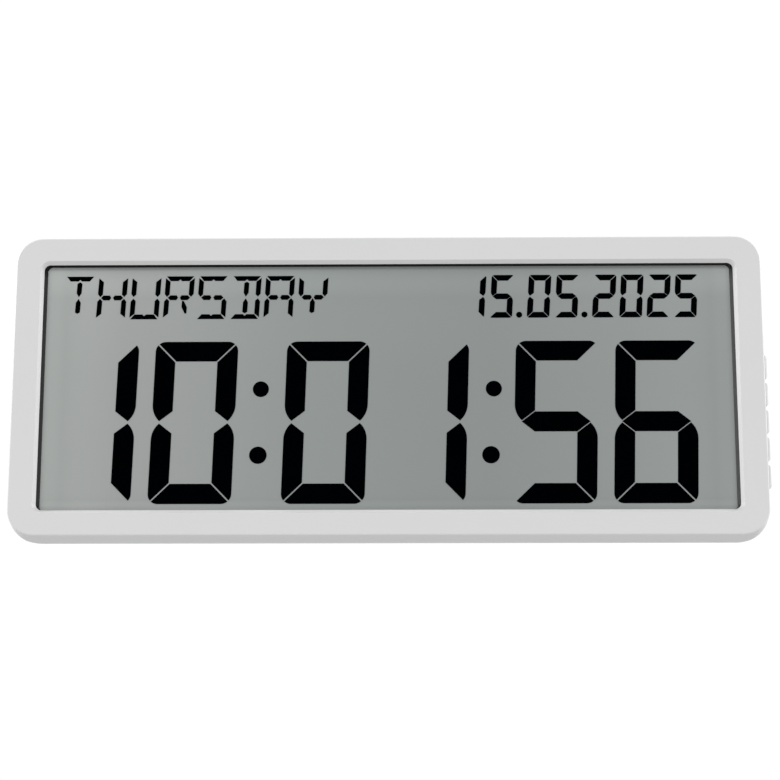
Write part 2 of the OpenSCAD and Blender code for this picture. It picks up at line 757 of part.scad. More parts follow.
// Which of those strokes are lit for each number from 0 to 9
lit = [
    [0, 1, 2, 3, 4, 5], [1, 2], [0, 1, 3, 4, 6], [0, 1, 2, 3, 6], [1, 2, 5, 6],
    [0, 2, 3, 5, 6], [0, 2, 3, 4, 5, 6], [0, 1, 2], [0, 1, 2, 3, 4, 5, 6], [0, 1, 2, 3, 5, 6]];

// One number, with the lower left corner of its box at x, y
module number(value, x, y, w, h, t, g, lean) {
    all = strokes(w, h, t, g);
    for (k = lit[value]) translate([x, y, polariser_z - image_t])
        linear_extrude(image_t) polygon(tilt(all[k], lean));
}

// A round dot of the image
module image_dot(x, y, r) {
    translate([x, y, polariser_z - image_t]) cylinder(r = r, h = image_t);
}

// Left edge of each number of the time row
function digit_x(i) = -window_w / 2 + time_left + i * (digit_w + digit_gap)
    + (i > 1 ? hours_gap - digit_gap : 0) + (i > 3 ? minutes_gap - digit_gap : 0);

// Time row: hours, minutes and seconds, with two dots after the hours and after the minutes
module time_segments() color([0.03, 0.03, 0.03]) {
    values = [1, 0, 0, 1, 5, 6];
    for (i = [0:digit_count - 1])
        number(values[i], digit_x(i), time_y, digit_w, digit_h, digit_stroke, digit_slit, time_lean);
    for (i = [1, 3], s = [-1, 1]) {
        shift = i == 1 ? 0 : s > 0 ? seconds_high_shift : seconds_low_shift;
        x = (digit_x(i) + digit_w + digit_x(i + 1)) / 2 + shift;
        y = digit_h / 2 + s * colon_spread / 2;
        image_dot(x + time_lean * y, time_y + y, s > 0 ? colon_high_r : colon_low_r);
    }
}

// Left edge of each number of the date row, found from the right-hand end
function date_x(i) = i == date_count - 1
    ? window_w / 2 - date_right - date_w
    : date_x(i + 1) - date_w - (i > 3 ? year_gap : i % 2 == 0 ? date_gap : date_dot_gap);

// Date row: day, month and year, with dots between them
module date_segments() color([0.03, 0.03, 0.03]) {
    values = [1, 5, 0, 5, 2, 0, 2, 5];
    for (i = [0:date_count - 1])
        number(values[i], date_x(i), date_y, date_w, date_h, date_stroke, date_slit, date_lean);
    for (i = [1, 3])
        image_dot(date_x(i) + date_w + date_dot_step, date_y + date_dot_r, date_dot_r);
}

// Frame that clamps the display against the gasket
module lcd_retainer() color([0.8, 0.8, 0.78]) difference() {
    outer_w = glass_w - 2 * retainer_inset;
    top = glass_top - retainer_inset;
    union() {
        block(0, (top + retainer_bottom) / 2, retainer_z, outer_w, top - retainer_bottom, retainer_t);
        for (x = ear_xs) {
            block(x, (top + ear_y) / 2 - root, retainer_z, 2 * ear_r, ear_y - top + 2 * root, ear_t);
            translate([x, ear_y, retainer_z]) cylinder(r = ear_r, h = ear_t);
        }
    }
    inner_low = retainer_bottom + retainer_foot;
    inner_high = top - retainer_top;
    block(0, (inner_low + inner_high) / 2, retainer_z - over,
        outer_w - 2 * retainer_side, inner_high - inner_low, retainer_t + 2 * over);
    for (x = ear_xs)
        translate([x, ear_y, retainer_z - over])
            cylinder(r = small_screw_r + small_screw_gap, h = ear_t + 2 * over);
    for (x = board_high_screw_xs)
        translate([x, board_high_screw_y, retainer_z + retainer_hole_floor])
            cylinder(r = small_screw_r + pin_gap, h = retainer_t);
}

// Pan-head screw pointing to the front, seated at z, with a cross recess
module screw(x, y, z, r, l, head_r, head_h) {
    recess_floor = head_h * 0.45;
    recess_w = head_r * 0.3;
    recess_l = head_r * 1.2;
    translate([x, y, z]) difference() {
        union() {
            translate([0, 0, -l]) cylinder(r = r, h = l + head_h / 2);
            cylinder(r = head_r, h = head_h);
        }
        for (turn = [0, 90]) rotate([0, 0, turn])
            block(0, 0, recess_floor, recess_w, recess_l, head_h);
    }
}

module retainer_screws() color([0.7, 0.7, 0.72])
    for (x = ear_xs)
        screw(x, ear_y, retainer_z + ear_t, small_screw_r, small_screw_l, small_head_r, small_head_h);

module board_screws() color([0.7, 0.7, 0.72])
    for (s = board_screw_spots)
        screw(s[0], s[1], board_back, small_screw_r, small_screw_l, small_head_r, small_head_h);

module case_screws() color([0.65, 0.65, 0.67])
    for (s = case_boss_spots)
        screw(s[0], s[1], seam_depth + sleeve_floor, case_screw_r, case_screw_l,
            case_screw_head_r, case_screw_head_h);

// Rubber strip that joins the glass ledge to the main board
module zebra_strip() color([0.85, 0.6, 0.6])
    block(0, glass_bottom + ledge_h / 2, rear_glass_z, zebra_l, zebra_t, board_z - rear_glass_z);

// Main board, cut round the lower middle boss
module main_board() color([0.1, 0.4, 0.2]) difference() {
    block(0, (board_top + board_bottom) / 2, board_z, board_w, board_top - board_bottom, board_t);
    for (s = board_screw_spots)
        translate([s[0], s[1], board_z - over])
            cylinder(r = small_screw_r + small_screw_gap, h = board_t + 2 * over);
    notch_r = boss_r + board_notch_gap;
    translate([0, -mid_boss_y, board_z - over]) cylinder(r = notch_r, h = board_t + 2 * over);
    block(0, board_bottom, board_z - over,
        2 * notch_r, 2 * (-mid_boss_y - board_bottom), board_t + 2 * over);
}

// Potted controller chip: a low dome
module controller_chip() color([0.05, 0.05, 0.05]) {
    dome_r = 9;
    dome_h = 1.8;
    dome_x = 40;
    dome_inset = 11;
    sphere_r = (dome_r * dome_r + dome_h * dome_h) / (2 * dome_h);
    spread = asin(dome_r / sphere_r);
    translate([dome_x, board_top - dome_inset, board_back])
        rotate_extrude()
        polygon(concat([[0, 0]], arc([0, dome_h - sphere_r], sphere_r, 90 - spread, 90)));
}

// Watch crystal lying on the board, on two bent wires
module crystal() color([0.75, 0.75, 0.77]) {
    can_r = 1.55;
    can_l = 8;
    can_x = 66;
    can_inset = 8;
    wire_r = 0.25;
    wire_l = 2.25;
    wire_step = 0.6;
    y = board_top - can_inset;
    rod_x(can_x, can_x + can_l, y, board_back + can_r + pin_gap, can_r);
    for (s = [-1, 1]) {
        rod_x(can_x - wire_l - wire_r, can_x + root, y + s * wire_step, board_back + can_r, wire_r);
        translate([can_x - wire_l, y + s * wire_step, board_back]) cylinder(r = wire_r, h = can_r);
    }
}

// Two electrolytic capacitors with a crimped can
module capacitors() color([0.15, 0.2, 0.45]) {
    can_r = 2.5;
    can_h = 6;
    can_inset = 10;
    can_x = -68;
    can_pitch = 8;
    crimp_z = 1.2;
    crimp_half = 0.4;
    crimp_d = 0.35;
    edge = 0.3;
    for (s = [-1, 1]) translate([can_x + s * can_pitch / 2, board_top - can_inset, board_back])
        rotate_extrude() polygon([[0, 0], [can_r, 0], [can_r, crimp_z - crimp_half],
            [can_r - crimp_d, crimp_z], [can_r, crimp_z + crimp_half],
            [can_r, can_h - edge], [can_r - edge, can_h], [0, can_h]]);
}

// Board that carries the five switches, on edge behind the side wall
module button_board() color([0.1, 0.4, 0.2])
    block(button_board_x + board_t / 2, (button_board_top + button_board_bottom) / 2,
        button_z - button_board_front, board_t, button_board_top - button_board_bottom,
        button_board_front + button_board_back);

// Switch bodies, bored for their plungers
module tact_switches() color([0.2, 0.2, 0.2])
    for (i = [1:button_count]) difference() {
        block(switch_top_x - switch_h / 2, button_y(i), button_z - switch_side / 2,
            switch_h, switch_side, switch_side);
        rod_x(switch_top_x - plunger_in - button_travel - fit, switch_top_x + over,
            button_y(i), button_z, plunger_r + plunger_play);
    }

// Switch plunger, which moves with its button
module plunger(i) color([0.1, 0.1, 0.1])
    rod_x(switch_top_x - plunger_in, plunger_tip_x, button_y(i), button_z, plunger_r);

// Outline of a cap with rounded outer corners, l long and u high
function cap_outline(l, u, r) = concat(
    [[-l / 2, 0], [l / 2, 0]], arc([l / 2 - r, u - r], r, 0, 90), arc([r - l / 2, u - r], r, 90, 180));

// Button: rounded cap, shank through the wall, inner flange and the nub that presses the switch
module button(i) color([0.84, 0.84, 0.84]) translate([0, button_y(i), button_z]) {
    shank = wall + flange_gap + button_proud;
    translate([flange_x + flange_t, 0, 0]) intersection() {
        rotate([0, 0, -90]) translate([0, 0, -button_w])
            linear_extrude(2 * button_w) polygon(cap_outline(button_l, shank, cap_r_long));
        rotate([90, 0, 0]) translate([0, 0, -button_l])
            linear_extrude(2 * button_l) rotate([0, 0, -90])
            polygon(cap_outline(button_w, shank, cap_r_across));
    }
    block(flange_x + flange_t / 2, 0, -button_w / 2 - flange_rim_z, flange_t,
        button_l + 2 * flange_rim_y, button_w + 2 * flange_rim_z);
    rod_x(flange_x - nub_h, flange_x + root, 0, 0, nub_r);
}

// Flat ribbon from the button board to the main board
module button_ribbon() color([0.7, 0.7, 0.7]) {
    ribbon_t = 0.9;
    ribbon_w = 7.6;
    land = 3;
    rise = 1.4;
    step = 6.5;
    end_x = board_w / 2 - land;
    z = board_back + rise;
    y = button_board_bottom + step;
    block((button_board_x + end_x) / 2, y, z, button_board_x - end_x, ribbon_w, ribbon_t);
    block(end_x + ribbon_t / 2, y, board_back, ribbon_t, ribbon_w, rise + ribbon_t);
}

// Aerial: ferrite rod in two saddles, with a winding round its middle
module ferrite_rod() color([0.2, 0.2, 0.21])
    rod_x(-ferrite_l / 2, ferrite_l / 2, aerial_y, aerial_z, ferrite_d / 2);

module aerial_winding() color([0.7, 0.42, 0.2]) difference() {
    rod_x(-winding_l / 2, winding_l / 2, aerial_y, aerial_z, winding_d / 2);
    rod_x(-winding_l, winding_l, aerial_y, aerial_z, ferrite_d / 2 + pin_gap);
}

// Two leads from the winding to the receiver, over the saddle's arm
module aerial_leads() color([0.75, 0.1, 0.1]) {
    reach = (winding_d + ferrite_d) / 4;
    lead_clear = 2.2;
    lead_dip = 1;
    front = aerial_z - saddle_grip - lead_clear;
    bend = 6;
    pad_step = 5;
    start_x = winding_l / 2;
    past_x = saddle_x + 2 * bend;
    pad_x = receiver_x - receiver_w / 2 + receiver_pad_inset;
    for (s = [0, 1]) {
        y = aerial_y + reach - s * 2 * reach;
        end_y = receiver_y + pad_step / 2 - pad_step * s;
        tube([[start_x, y, aerial_z], [start_x + lead_end, y, aerial_z],
            [start_x + lead_end + bend, y, front], [past_x, y, front],
            [pad_x - bend / 2, end_y, front + lead_dip],
            [pad_x, end_y, receiver_z - lead_end], [pad_x, end_y, receiver_z]], lead_r);
    }
}

// Receiver board with its chip and the two holes for the posts' pins
module receiver_board() color([0.1, 0.35, 0.2]) {
    chip = 6;
    chip_t = 1.2;
    chip_rise = 1;
    difference() {
        block(receiver_x, receiver_y, receiver_z, receiver_w, receiver_h, receiver_t);
        for (s = [-1, 1])
            translate([receiver_x + s * receiver_post_x, receiver_y, receiver_z - over])
                cylinder(r = receiver_pin_r + pin_gap, h = receiver_t + 2 * over);
    }
    block(receiver_x, receiver_y + chip_rise, receiver_z - chip_t, chip, chip, chip_t + root / 2);
}

// Three leads from the receiver to the main board
module receiver_leads() color([0.8, 0.8, 0.2]) {
    pad_x = 4.5;
    pad_step = 2;
    bend = 4;
    start_y = receiver_y - receiver_h / 2 + receiver_pad_inset;
    end_y = board_top - lead_pad_inset;
    lane = board_back + lead_lane;
    for (s = [0:2]) {
        x = receiver_x + pad_x + pad_step * s;
        tube([[x, start_y, receiver_z], [x, start_y, receiver_z - lead_end],
            [x, start_y - bend, lane], [x, board_top + bend, lane],
            [x, end_y, board_back + lead_end], [x, end_y, board_back]], lead_r);
    }
}

// A cell lying along x: body from x0, nub towards side s
module cell(y, s) {
    spring_x = -s * (bay_l / 2 - contact_t - spring_l - cell_play);
    body_end = spring_x + s * (cell_l - cell_nub_l);
    nub_end = spring_x + s * cell_l;
    rod_x(min(spring_x, body_end), max(spring_x, body_end), y, cell_z, cell_d / 2);
    rod_x(min(spring_x, nub_end), max(spring_x, nub_end), y, cell_z, cell_nub_r);
}

module upper_cell() color([0.25, 0.3, 0.35]) cell(bay_y + cell_pitch / 2, 1);

module lower_cell() color([0.25, 0.3, 0.35]) cell(bay_y - cell_pitch / 2, -1);

// Wire of a conical spring along x, straight for one wire diameter at each end
function spring_route() = let (
    d = 2 * spring_wire_r,
    rings = round(spring_turns * 8)) concat(
    [[0, spring_wide_r, 0]],
    [for (i = [0:rings]) let (
        u = i / rings, a = 360 * spring_turns * u,
        r = spring_wide_r + (spring_tight_r - spring_wide_r) * u)
        [d + (spring_l - 2 * d) * u, r * cos(a), r * sin(a)]],
    [[spring_l, spring_tight_r * cos(360 * spring_turns), spring_tight_r * sin(360 * spring_turns)]]);

// Least gap between the wire and itself, half a turn or more along
function spring_least_gap(p) =
    min([for (i = [1:len(p) - 6], j = [i + 5:len(p) - 1]) norm(p[i] - p[j])]) - 2 * spring_wire_r;

module battery_springs() color([0.8, 0.8, 0.8]) {
    route = spring_route();
    echo(spring_least_gap = spring_least_gap(route));
    end_x = bay_l / 2 - contact_t;
    translate([-end_x, bay_y + cell_pitch / 2, cell_z]) tube(route, spring_wire_r);
    translate([end_x, bay_y - cell_pitch / 2, cell_z]) rotate([0, 0, 180]) tube(route, spring_wire_r);
}

// Contact plates: two at the left with tails through the wall, one joined plate at the right
module battery_contacts() color([0.82, 0.82, 0.84]) {
    end_x = bay_l / 2 - contact_t / 2;
    low_z = cell_z - contact_h / 2;
    for (s = [-1, 1]) {
        y = bay_y + s * cell_pitch / 2;
        block(-end_x, y, low_z, contact_t, contact_w, contact_h);
        block(-bay_l / 2 - tail_l / 2 + contact_t, y, bay_floor + tail_rise, tail_l, tail_w, contact_t);
        block(-end_x, y, bay_floor + tail_rise, contact_t, tail_w, low_z - bay_floor);
    }
    block(end_x, bay_y, low_z, contact_t, cell_pitch + contact_w, contact_h);
}

// Two leads from the contact tails to the main board, one beside the other
module battery_leads() color([0.1, 0.1, 0.1]) {
    pad_inset = 1;
    bend = 4;
    side_step = 8;
    part = 2;
    tail_x = -bay_l / 2 - tail_l + contact_t + pad_inset;
    tail_z = bay_floor + tail_rise + contact_t;
    end_y = board_top - lead_pad_inset;
    lane = board_back + lead_lane;
    for (s = [-1, 1]) {
        y = bay_y + s * cell_pitch / 2;
        x = tail_x - side_step - part * s;
        tube([[tail_x, y, tail_z], [tail_x, y, tail_z + lead_end], [tail_x - bend, y - part, lane],
            [x, y - 2 * bend, lane], [x, board_top + bend, lane],
            [x, end_y, board_back + lead_end], [x, end_y, board_back]], lead_r);
    }
}

// Battery door: plate, latch tongue with grip grooves, and two tabs under the back plate
module battery_door() color([0.84, 0.84, 0.84]) {
    back_in = case_d - back_t;
    door_in = case_d - door_t;
    tab_z = back_in - tab_gap - tab_t;
    tab_root = 3;
    tab_heel = 0.6;
    latch_half = 6;
    latch_l = 9;
    slit = 0.8;
    groove_w = 0.8;
    groove_d = 0.5;
    groove_pitch = 1.8;
    groove_start = 2;
    groove_inset = 1.5;
    difference() {
        block(0, (door_top + door_low) / 2, door_in, 2 * door_half_w, door_top - door_low, door_t);
        for (s = [-1, 1])
            block(s * latch_half, door_low, door_in - over, slit, 2 * latch_l, door_t + 2 * over);
        for (k = [0:3])
            block(0, door_low + groove_start + groove_pitch * k, case_d - groove_d,
                2 * (latch_half - groove_inset), groove_w, over);
    }
    for (s = [-1, 1]) {
        block(s * tab_x, door_top + (tab_reach - tab_root) / 2, tab_z,
            tab_w, tab_reach + tab_root, tab_t);
        block(s * tab_x, door_top - tab_root / 2 - tab_heel / 2, tab_z,
            tab_w, tab_root - tab_heel, door_in - tab_z + root);
    }
}

// Side view of a foot: round hinge end, straight leg and rounded tip; x runs along the leg
function foot_outline() = concat(
    arc([0, 0], foot_hinge_r, 90, 270, 16),
    arc([foot_l - foot_tip_r, foot_tip_r - foot_hinge_r], foot_tip_r, 270, 360),
    arc([foot_l - foot_tip_r, foot_hinge_r - foot_tip_r], foot_tip_r, 0, 90));

// Fold-out foot, flat in its pocket, hollow on its inner side, with moulded hinge pins
module foot(x) color([0.84, 0.84, 0.84]) translate([x, foot_hinge_y, foot_hinge_z]) {
    notch_r = 5;
    notch_rise = 1.5;
    hollow_start = foot_hinge_r + foot_skin;
    hollow_end = foot_l + notch_rise - notch_r - foot_skin;
    pin_half = foot_w / 2 + foot_side_gap + foot_pin_l;
    difference() {
        translate([-foot_w / 2, 0, 0]) rotate([90, 0, 90])
            linear_extrude(foot_w) polygon(foot_outline());
        translate([0, foot_l + notch_rise, -foot_t]) cylinder(r = notch_r, h = 2 * foot_t);
        block(0, (hollow_start + hollow_end) / 2, foot_hinge_r - foot_skin - foot_t,
            foot_w - 2 * foot_skin, hollow_end - hollow_start, foot_t);
    }
    rod_x(-pin_half, pin_half, 0, 0, foot_pin_r);
}

module left_foot() foot(-foot_x);

module right_foot() foot(foot_x);

stand_up() front_bezel();
stand_up() rear_cover();
stand_up() display_gasket();
stand_up() time_segments();
stand_up() date_segments();
stand_up() lcd_front_polariser();
stand_up() lcd_front_glass();
stand_up() lcd_rear_glass();
stand_up() lcd_reflector();
stand_up() lcd_retainer();
stand_up() retainer_screws();
stand_up() zebra_strip();
stand_up() main_board();
stand_up() controller_chip();
stand_up() crystal();
stand_up() capacitors();
stand_up() board_screws();
stand_up() case_screws();
stand_up() button_board();
stand_up() tact_switches();
stand_up() button_ribbon();
stand_up() ferrite_rod();
stand_up() aerial_winding();
stand_up() aerial_leads();
stand_up() receiver_board();
stand_up() receiver_leads();
stand_up() upper_cell();
stand_up() lower_cell();
stand_up() battery_springs();
stand_up() battery_contacts();
stand_up() battery_leads();
stand_up() button(1);  // button_1
stand_up() button(2);  // button_2
stand_up() button(3);  // button_3
stand_up() button(4);  // button_4
stand_up() button(5);  // button_5
stand_up() plunger(1);  // plunger_1
stand_up() plunger(2);  // plunger_2
stand_up() plunger(3);  // plunger_3
stand_up() plunger(4);  // plunger_4
stand_up() plunger(5);  // plunger_5
stand_up() battery_door();
stand_up() left_foot();
stand_up() right_foot();
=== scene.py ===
# %% [markdown]
# # A radio-controlled wall clock
# The clock's construction is already modelled: every rigid piece arrives in the frame at its real size
# and place. This lesson adds what a camera sees. It sets up the studio, gives each piece a finish made
# of shader nodes, and models the few pieces that need a softer or finer shape than a CAD solid has.

# %% Load the frame
import json
import math

import bmesh
import bpy
from mathutils import Euler, Matrix, Vector


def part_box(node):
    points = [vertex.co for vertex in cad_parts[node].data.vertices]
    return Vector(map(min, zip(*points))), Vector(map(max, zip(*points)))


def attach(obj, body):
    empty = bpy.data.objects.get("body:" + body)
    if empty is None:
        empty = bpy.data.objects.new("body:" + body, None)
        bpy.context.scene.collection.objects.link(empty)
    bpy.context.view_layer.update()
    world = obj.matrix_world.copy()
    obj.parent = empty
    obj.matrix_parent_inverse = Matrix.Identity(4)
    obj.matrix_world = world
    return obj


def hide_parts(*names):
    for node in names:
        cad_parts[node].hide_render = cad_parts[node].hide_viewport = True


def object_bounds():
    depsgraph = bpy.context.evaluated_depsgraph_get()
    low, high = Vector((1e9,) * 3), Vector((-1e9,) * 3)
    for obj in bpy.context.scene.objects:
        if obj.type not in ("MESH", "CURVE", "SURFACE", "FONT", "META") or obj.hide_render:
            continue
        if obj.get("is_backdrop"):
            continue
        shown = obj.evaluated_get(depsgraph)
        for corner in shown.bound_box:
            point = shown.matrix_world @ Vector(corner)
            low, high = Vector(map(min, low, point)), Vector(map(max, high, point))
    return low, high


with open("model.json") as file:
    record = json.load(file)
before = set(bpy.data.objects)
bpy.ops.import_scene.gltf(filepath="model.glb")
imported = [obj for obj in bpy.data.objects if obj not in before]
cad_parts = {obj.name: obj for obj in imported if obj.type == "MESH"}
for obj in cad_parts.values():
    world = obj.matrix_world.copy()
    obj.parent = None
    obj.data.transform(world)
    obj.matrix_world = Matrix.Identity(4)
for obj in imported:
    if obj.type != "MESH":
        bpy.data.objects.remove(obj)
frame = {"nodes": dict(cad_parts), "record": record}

MM = 0.001
cad_low, cad_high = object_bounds()
print("loaded", len(frame["nodes"]), "nodes, box", [round(s / MM, 1) for s in cad_high - cad_low], "mm")

# %% [markdown]
# ## The camera
# The picture is taken from below with a long lens: the underside of the case shows, and the frame's
# sides stay nearly parallel. A camera can be turned by eye or tracked to a target, but half a degree
# already moves every edge by many pixels. So the place and the angles were found by fitting the case's
# corners, and they are simply written down here.

# %% Camera
SENSOR = 36
IMAGE = 780
FOCAL_PIXELS = 2128
CAMERA_PLACE = Vector((17.7, -1044.5, -283.1)) * MM
CAMERA_YAW = math.radians(-0.93)
CAMERA_PITCH = math.radians(13.01)
CAMERA_ROLL = math.radians(0.05)

lens = bpy.data.cameras.new("studio_camera")
lens.sensor_width = SENSOR
lens.lens = FOCAL_PIXELS / IMAGE * SENSOR
camera = bpy.data.objects.new("studio_camera", lens)
aim = Euler((0, 0, -CAMERA_YAW)).to_matrix() @ Euler((math.pi / 2 + CAMERA_PITCH, 0, 0)).to_matrix()
turned = aim @ Euler((0, 0, CAMERA_ROLL)).to_matrix()
camera.matrix_world = Matrix.Translation(CAMERA_PLACE) @ turned.to_4x4()
scene = bpy.context.scene
scene.collection.objects.link(camera)
scene.camera = camera
print("camera with a", round(lens.lens, 1), "mm lens,", round(CAMERA_PLACE.length, 2), "m away")

# %% [markdown]
# ## The studio
# A white sky lights the clock evenly from all round, as a light tent does, and doubles as the white
# background. A tent could be built from glowing sheets, but their edges would show in the glossy pieces.
# The pale floor lies well below the clock. It reflects less light than the sky gives, which is what
# makes the underside of the case darker than its front.

# %% Sky and floor
SKY_STRENGTH = 1.02
FLOOR_DROP = 2.0
FLOOR_SIZE = 30

scene.view_settings.view_transform = "Standard"
scene.view_settings.look = "None"
sky = bpy.data.worlds.new("white_sky")
sky.use_nodes = True
sky.node_tree.nodes["Background"].inputs["Color"].default_value = (1, 1, 1, 1)
sky.node_tree.nodes["Background"].inputs["Strength"].default_value = SKY_STRENGTH
scene.world = sky

ground = bmesh.new()
bmesh.ops.create_grid(ground, x_segments=1, y_segments=1, size=FLOOR_SIZE / 2)
bmesh.ops.translate(ground, verts=ground.verts, vec=(0, 0, cad_low.z - FLOOR_DROP))
floor_mesh = bpy.data.meshes.new("floor")
ground.to_mesh(floor_mesh)
ground.free()
floor = bpy.data.objects.new("floor", floor_mesh)
scene.collection.objects.link(floor)
floor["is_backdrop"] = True
print("floor", FLOOR_DROP, "m below the clock")

# %% [markdown]
# Three soft lamps add what an even sky lacks. Two stand at the sides, above the middle, and brighten the
# sloped lips round the window, which face sideways. A larger one stands low in front and lifts the
# underside and the upper lip, which faces down. Area lamps are chosen over points or a sun, because
# their size sets how soft the light falls.

# %% Soft lamps
# Place from the clock's middle and size in metres, and power in watts
LAMPS = {
    "left_lamp": ((-1.2, -0.13, 0.55), 0.5, 14.2),
    "right_lamp": ((1.2, -0.13, 0.55), 0.5, 12.6),
    "low_lamp": ((0, -1.35, -1.35), 1.0, 12),
}


def soft_lamp(name, place, target, size, power):
    """A square area lamp that faces a target."""
    glow = bpy.data.lights.new(name, "AREA")
    glow.size = size
    glow.energy = power
    lamp = bpy.data.objects.new(name, glow)
    facing = (target - place).to_track_quat("-Z", "Y")
    lamp.matrix_world = Matrix.Translation(place) @ facing.to_matrix().to_4x4()
    scene.collection.objects.link(lamp)


middle = (cad_low + cad_high) / 2
for lamp_name, (offset, lamp_size, watts) in LAMPS.items():
    soft_lamp(lamp_name, middle + Vector(offset), middle, lamp_size, watts)
print(len(LAMPS), "soft lamps")

# %% [markdown]
# ## Shader sums in plain Python
# A finish is a small sum: a colour plus a little noise, a grain with a threshold. Its Math nodes could be
# made and linked one by one, but that hides the sum. So one class wraps a socket and lets it take part
# in Python expressions. Anything that isn't a sum comes from its node() method.


# %% Shader helper
class Shade:
    """A socket of a material's node tree; sums on it add Math nodes, and node() adds any other node."""

    def __init__(self, tree, socket=None):
        self.tree = tree
        self.socket = socket

    def node(self, kind, settings=(), sockets=(), out=0):
        made = self.tree.nodes.new(kind)
        for name, value in dict(settings).items():
            if name == "stops":
                fill_ramp(made.color_ramp, value)
            else:
                setattr(made, name, value)
        for name, value in dict(sockets).items():
            if isinstance(value, Shade):
                self.tree.links.new(value.socket, made.inputs[name])
            else:
                made.inputs[name].default_value = value
        return Shade(self.tree, made.outputs[out])

    def math(self, operation, first, second=0.0):
        return self.node("ShaderNodeMath", {"operation": operation}, {0: first, 1: second})

    def __add__(self, other):
        return self.math("ADD", self, other)

    def __sub__(self, other):
        return self.math("SUBTRACT", self, other)

    def __rsub__(self, other):
        return self.math("SUBTRACT", other, self)

    def __mul__(self, other):
        return self.math("MULTIPLY", self, other)

    def __truediv__(self, other):
        return self.math("DIVIDE", self, other)

    def __lt__(self, other):
        return self.math("LESS_THAN", self, other)

    def __gt__(self, other):
        return self.math("GREATER_THAN", self, other)

    def __mod__(self, other):
        return self.math("FLOORED_MODULO", self, other)

    def __abs__(self):
        return self.math("ABSOLUTE", self)

    __radd__ = __add__
    __rmul__ = __mul__


def fill_ramp(ramp, stops):
    """Gives a colour ramp its stops, each a place from 0 to 1 and a colour."""
    while len(ramp.elements) < len(stops):
        ramp.elements.new(1.0)
    for element, (place, colour) in zip(ramp.elements, stops):
        element.position = place
        element.color = colour


def grey(value):
    """A neutral colour."""
    return (value, value, value, 1)


def rgb(red, green, blue):
    """A colour with full alpha."""
    return (red, green, blue, 1)


print("shader helper ready")

# %% [markdown]
# Every finish starts the same way: a material, its principled shader and the Object coordinates of the
# piece. Those are metres in the clock's own frame, so a grain of 0.4 mm is a noise of scale 2500. UV maps
# could carry the patterns too, but a CAD mesh has none.


# %% Start of a finish
class Finish:
    """A material with its principled shader and the piece's own coordinates."""

    def __init__(self, name, **constants):
        self.material = bpy.data.materials.new(name)
        self.material.use_nodes = True
        self.tree = self.material.node_tree
        self.shader = self.tree.nodes["Principled BSDF"]
        self.shade = Shade(self.tree)
        self.place = self.shade.node("ShaderNodeTexCoord", out="Object")
        for socket, value in constants.items():
            self.shader.inputs[socket.replace("_", " ")].default_value = value

    def drive(self, socket, value):
        """Feeds one of the shader's sockets from a sum."""
        self.tree.links.new(value.socket, self.shader.inputs[socket])

    def axes(self):
        """The x, y and z of the piece's own coordinates."""
        split = self.shade.node("ShaderNodeSeparateXYZ", sockets={0: self.place})
        outputs = split.socket.node.outputs
        return [Shade(self.tree, outputs[name]) for name in "XYZ"]

    def noise_at(self, spot, scale, detail):
        """Noise from 0 to 1 at a spot that a sum gives."""
        return self.shade.node(
            "ShaderNodeTexNoise", sockets={"Vector": spot, "Scale": scale, "Detail": detail})

    def noise(self, scale, detail=2.0, stretch=(1, 1, 1)):
        """Noise from 0 to 1 on the piece; stretch squeezes it along an axis."""
        spot = self.shade.node("ShaderNodeMapping", sockets={"Vector": self.place, "Scale": stretch})
        return self.noise_at(spot, scale, detail)

    def mix(self, factor, first, second, blend="MIX"):
        """A colour between two colours, or another blend of the two."""
        return self.shade.node(
            "ShaderNodeMix", {"data_type": "RGBA", "blend_type": blend},
            {0: factor, 6: first, 7: second}, out=2)

    def ramp(self, stops, share):
        """A colour that changes along its stops as the share goes from 0 to 1."""
        return self.shade.node("ShaderNodeValToRGB", {"stops": stops}, {0: share})

    def gloss(self, least, swing, pattern):
        """Roughness that rises from its least value by a swing, with a pattern from 0 to 1."""
        self.drive("Roughness", least + swing * pattern)

    def bump(self, height, depth, strength):
        """Lets a height from 0 to 1 stand out by a real depth in metres."""
        dent = self.shade.node(
            "ShaderNodeBump", sockets={"Height": height, "Distance": depth, "Strength": strength})
        self.drive("Normal", dent)


finishes = {}
print("finish helper ready")

# %% [markdown]
# ## Moulded plastic
# The case, the buttons, the feet and the battery door are moulded in white plastic with a fine satin
# grain, left by the spark-eroded mould. One flat colour would look like paint. Close up there are three
# scales: the grain itself, a faint cloudiness where the plastic cooled unevenly, and a slow change of
# gloss. One recipe with other colours also makes the retainer, the switches and the covers of the leads.

# %% Moulded plastics
PLASTIC_IOR = 1.49
CLOUD_SCALE = 24
GLOSS_SCALE = 70
GLOSS_SWING = 0.12
GRAIN_SCALE = 2600
GRAIN_STRENGTH = 0.35
SATIN_GRAIN = 0.02 * MM
FINE_GRAIN = 0.01 * MM
LEAD_GRAIN = 0.005 * MM
LEAD_ROUGHNESS = 0.36


def moulded(name, light, dark, roughness, grain):
    """Satin moulded plastic between two close colours."""
    made = Finish(name, IOR=PLASTIC_IOR)
    made.drive("Base Color", made.mix(made.noise(CLOUD_SCALE, 3.0), dark, light))
    made.gloss(roughness - GLOSS_SWING / 2, GLOSS_SWING, made.noise(GLOSS_SCALE))
    made.bump(made.noise(GRAIN_SCALE), grain, GRAIN_STRENGTH)
    return made.material


def lead_cover(name, light, dark):
    """Smooth plastic cover of a lead."""
    return moulded(name, light, dark, LEAD_ROUGHNESS, LEAD_GRAIN)


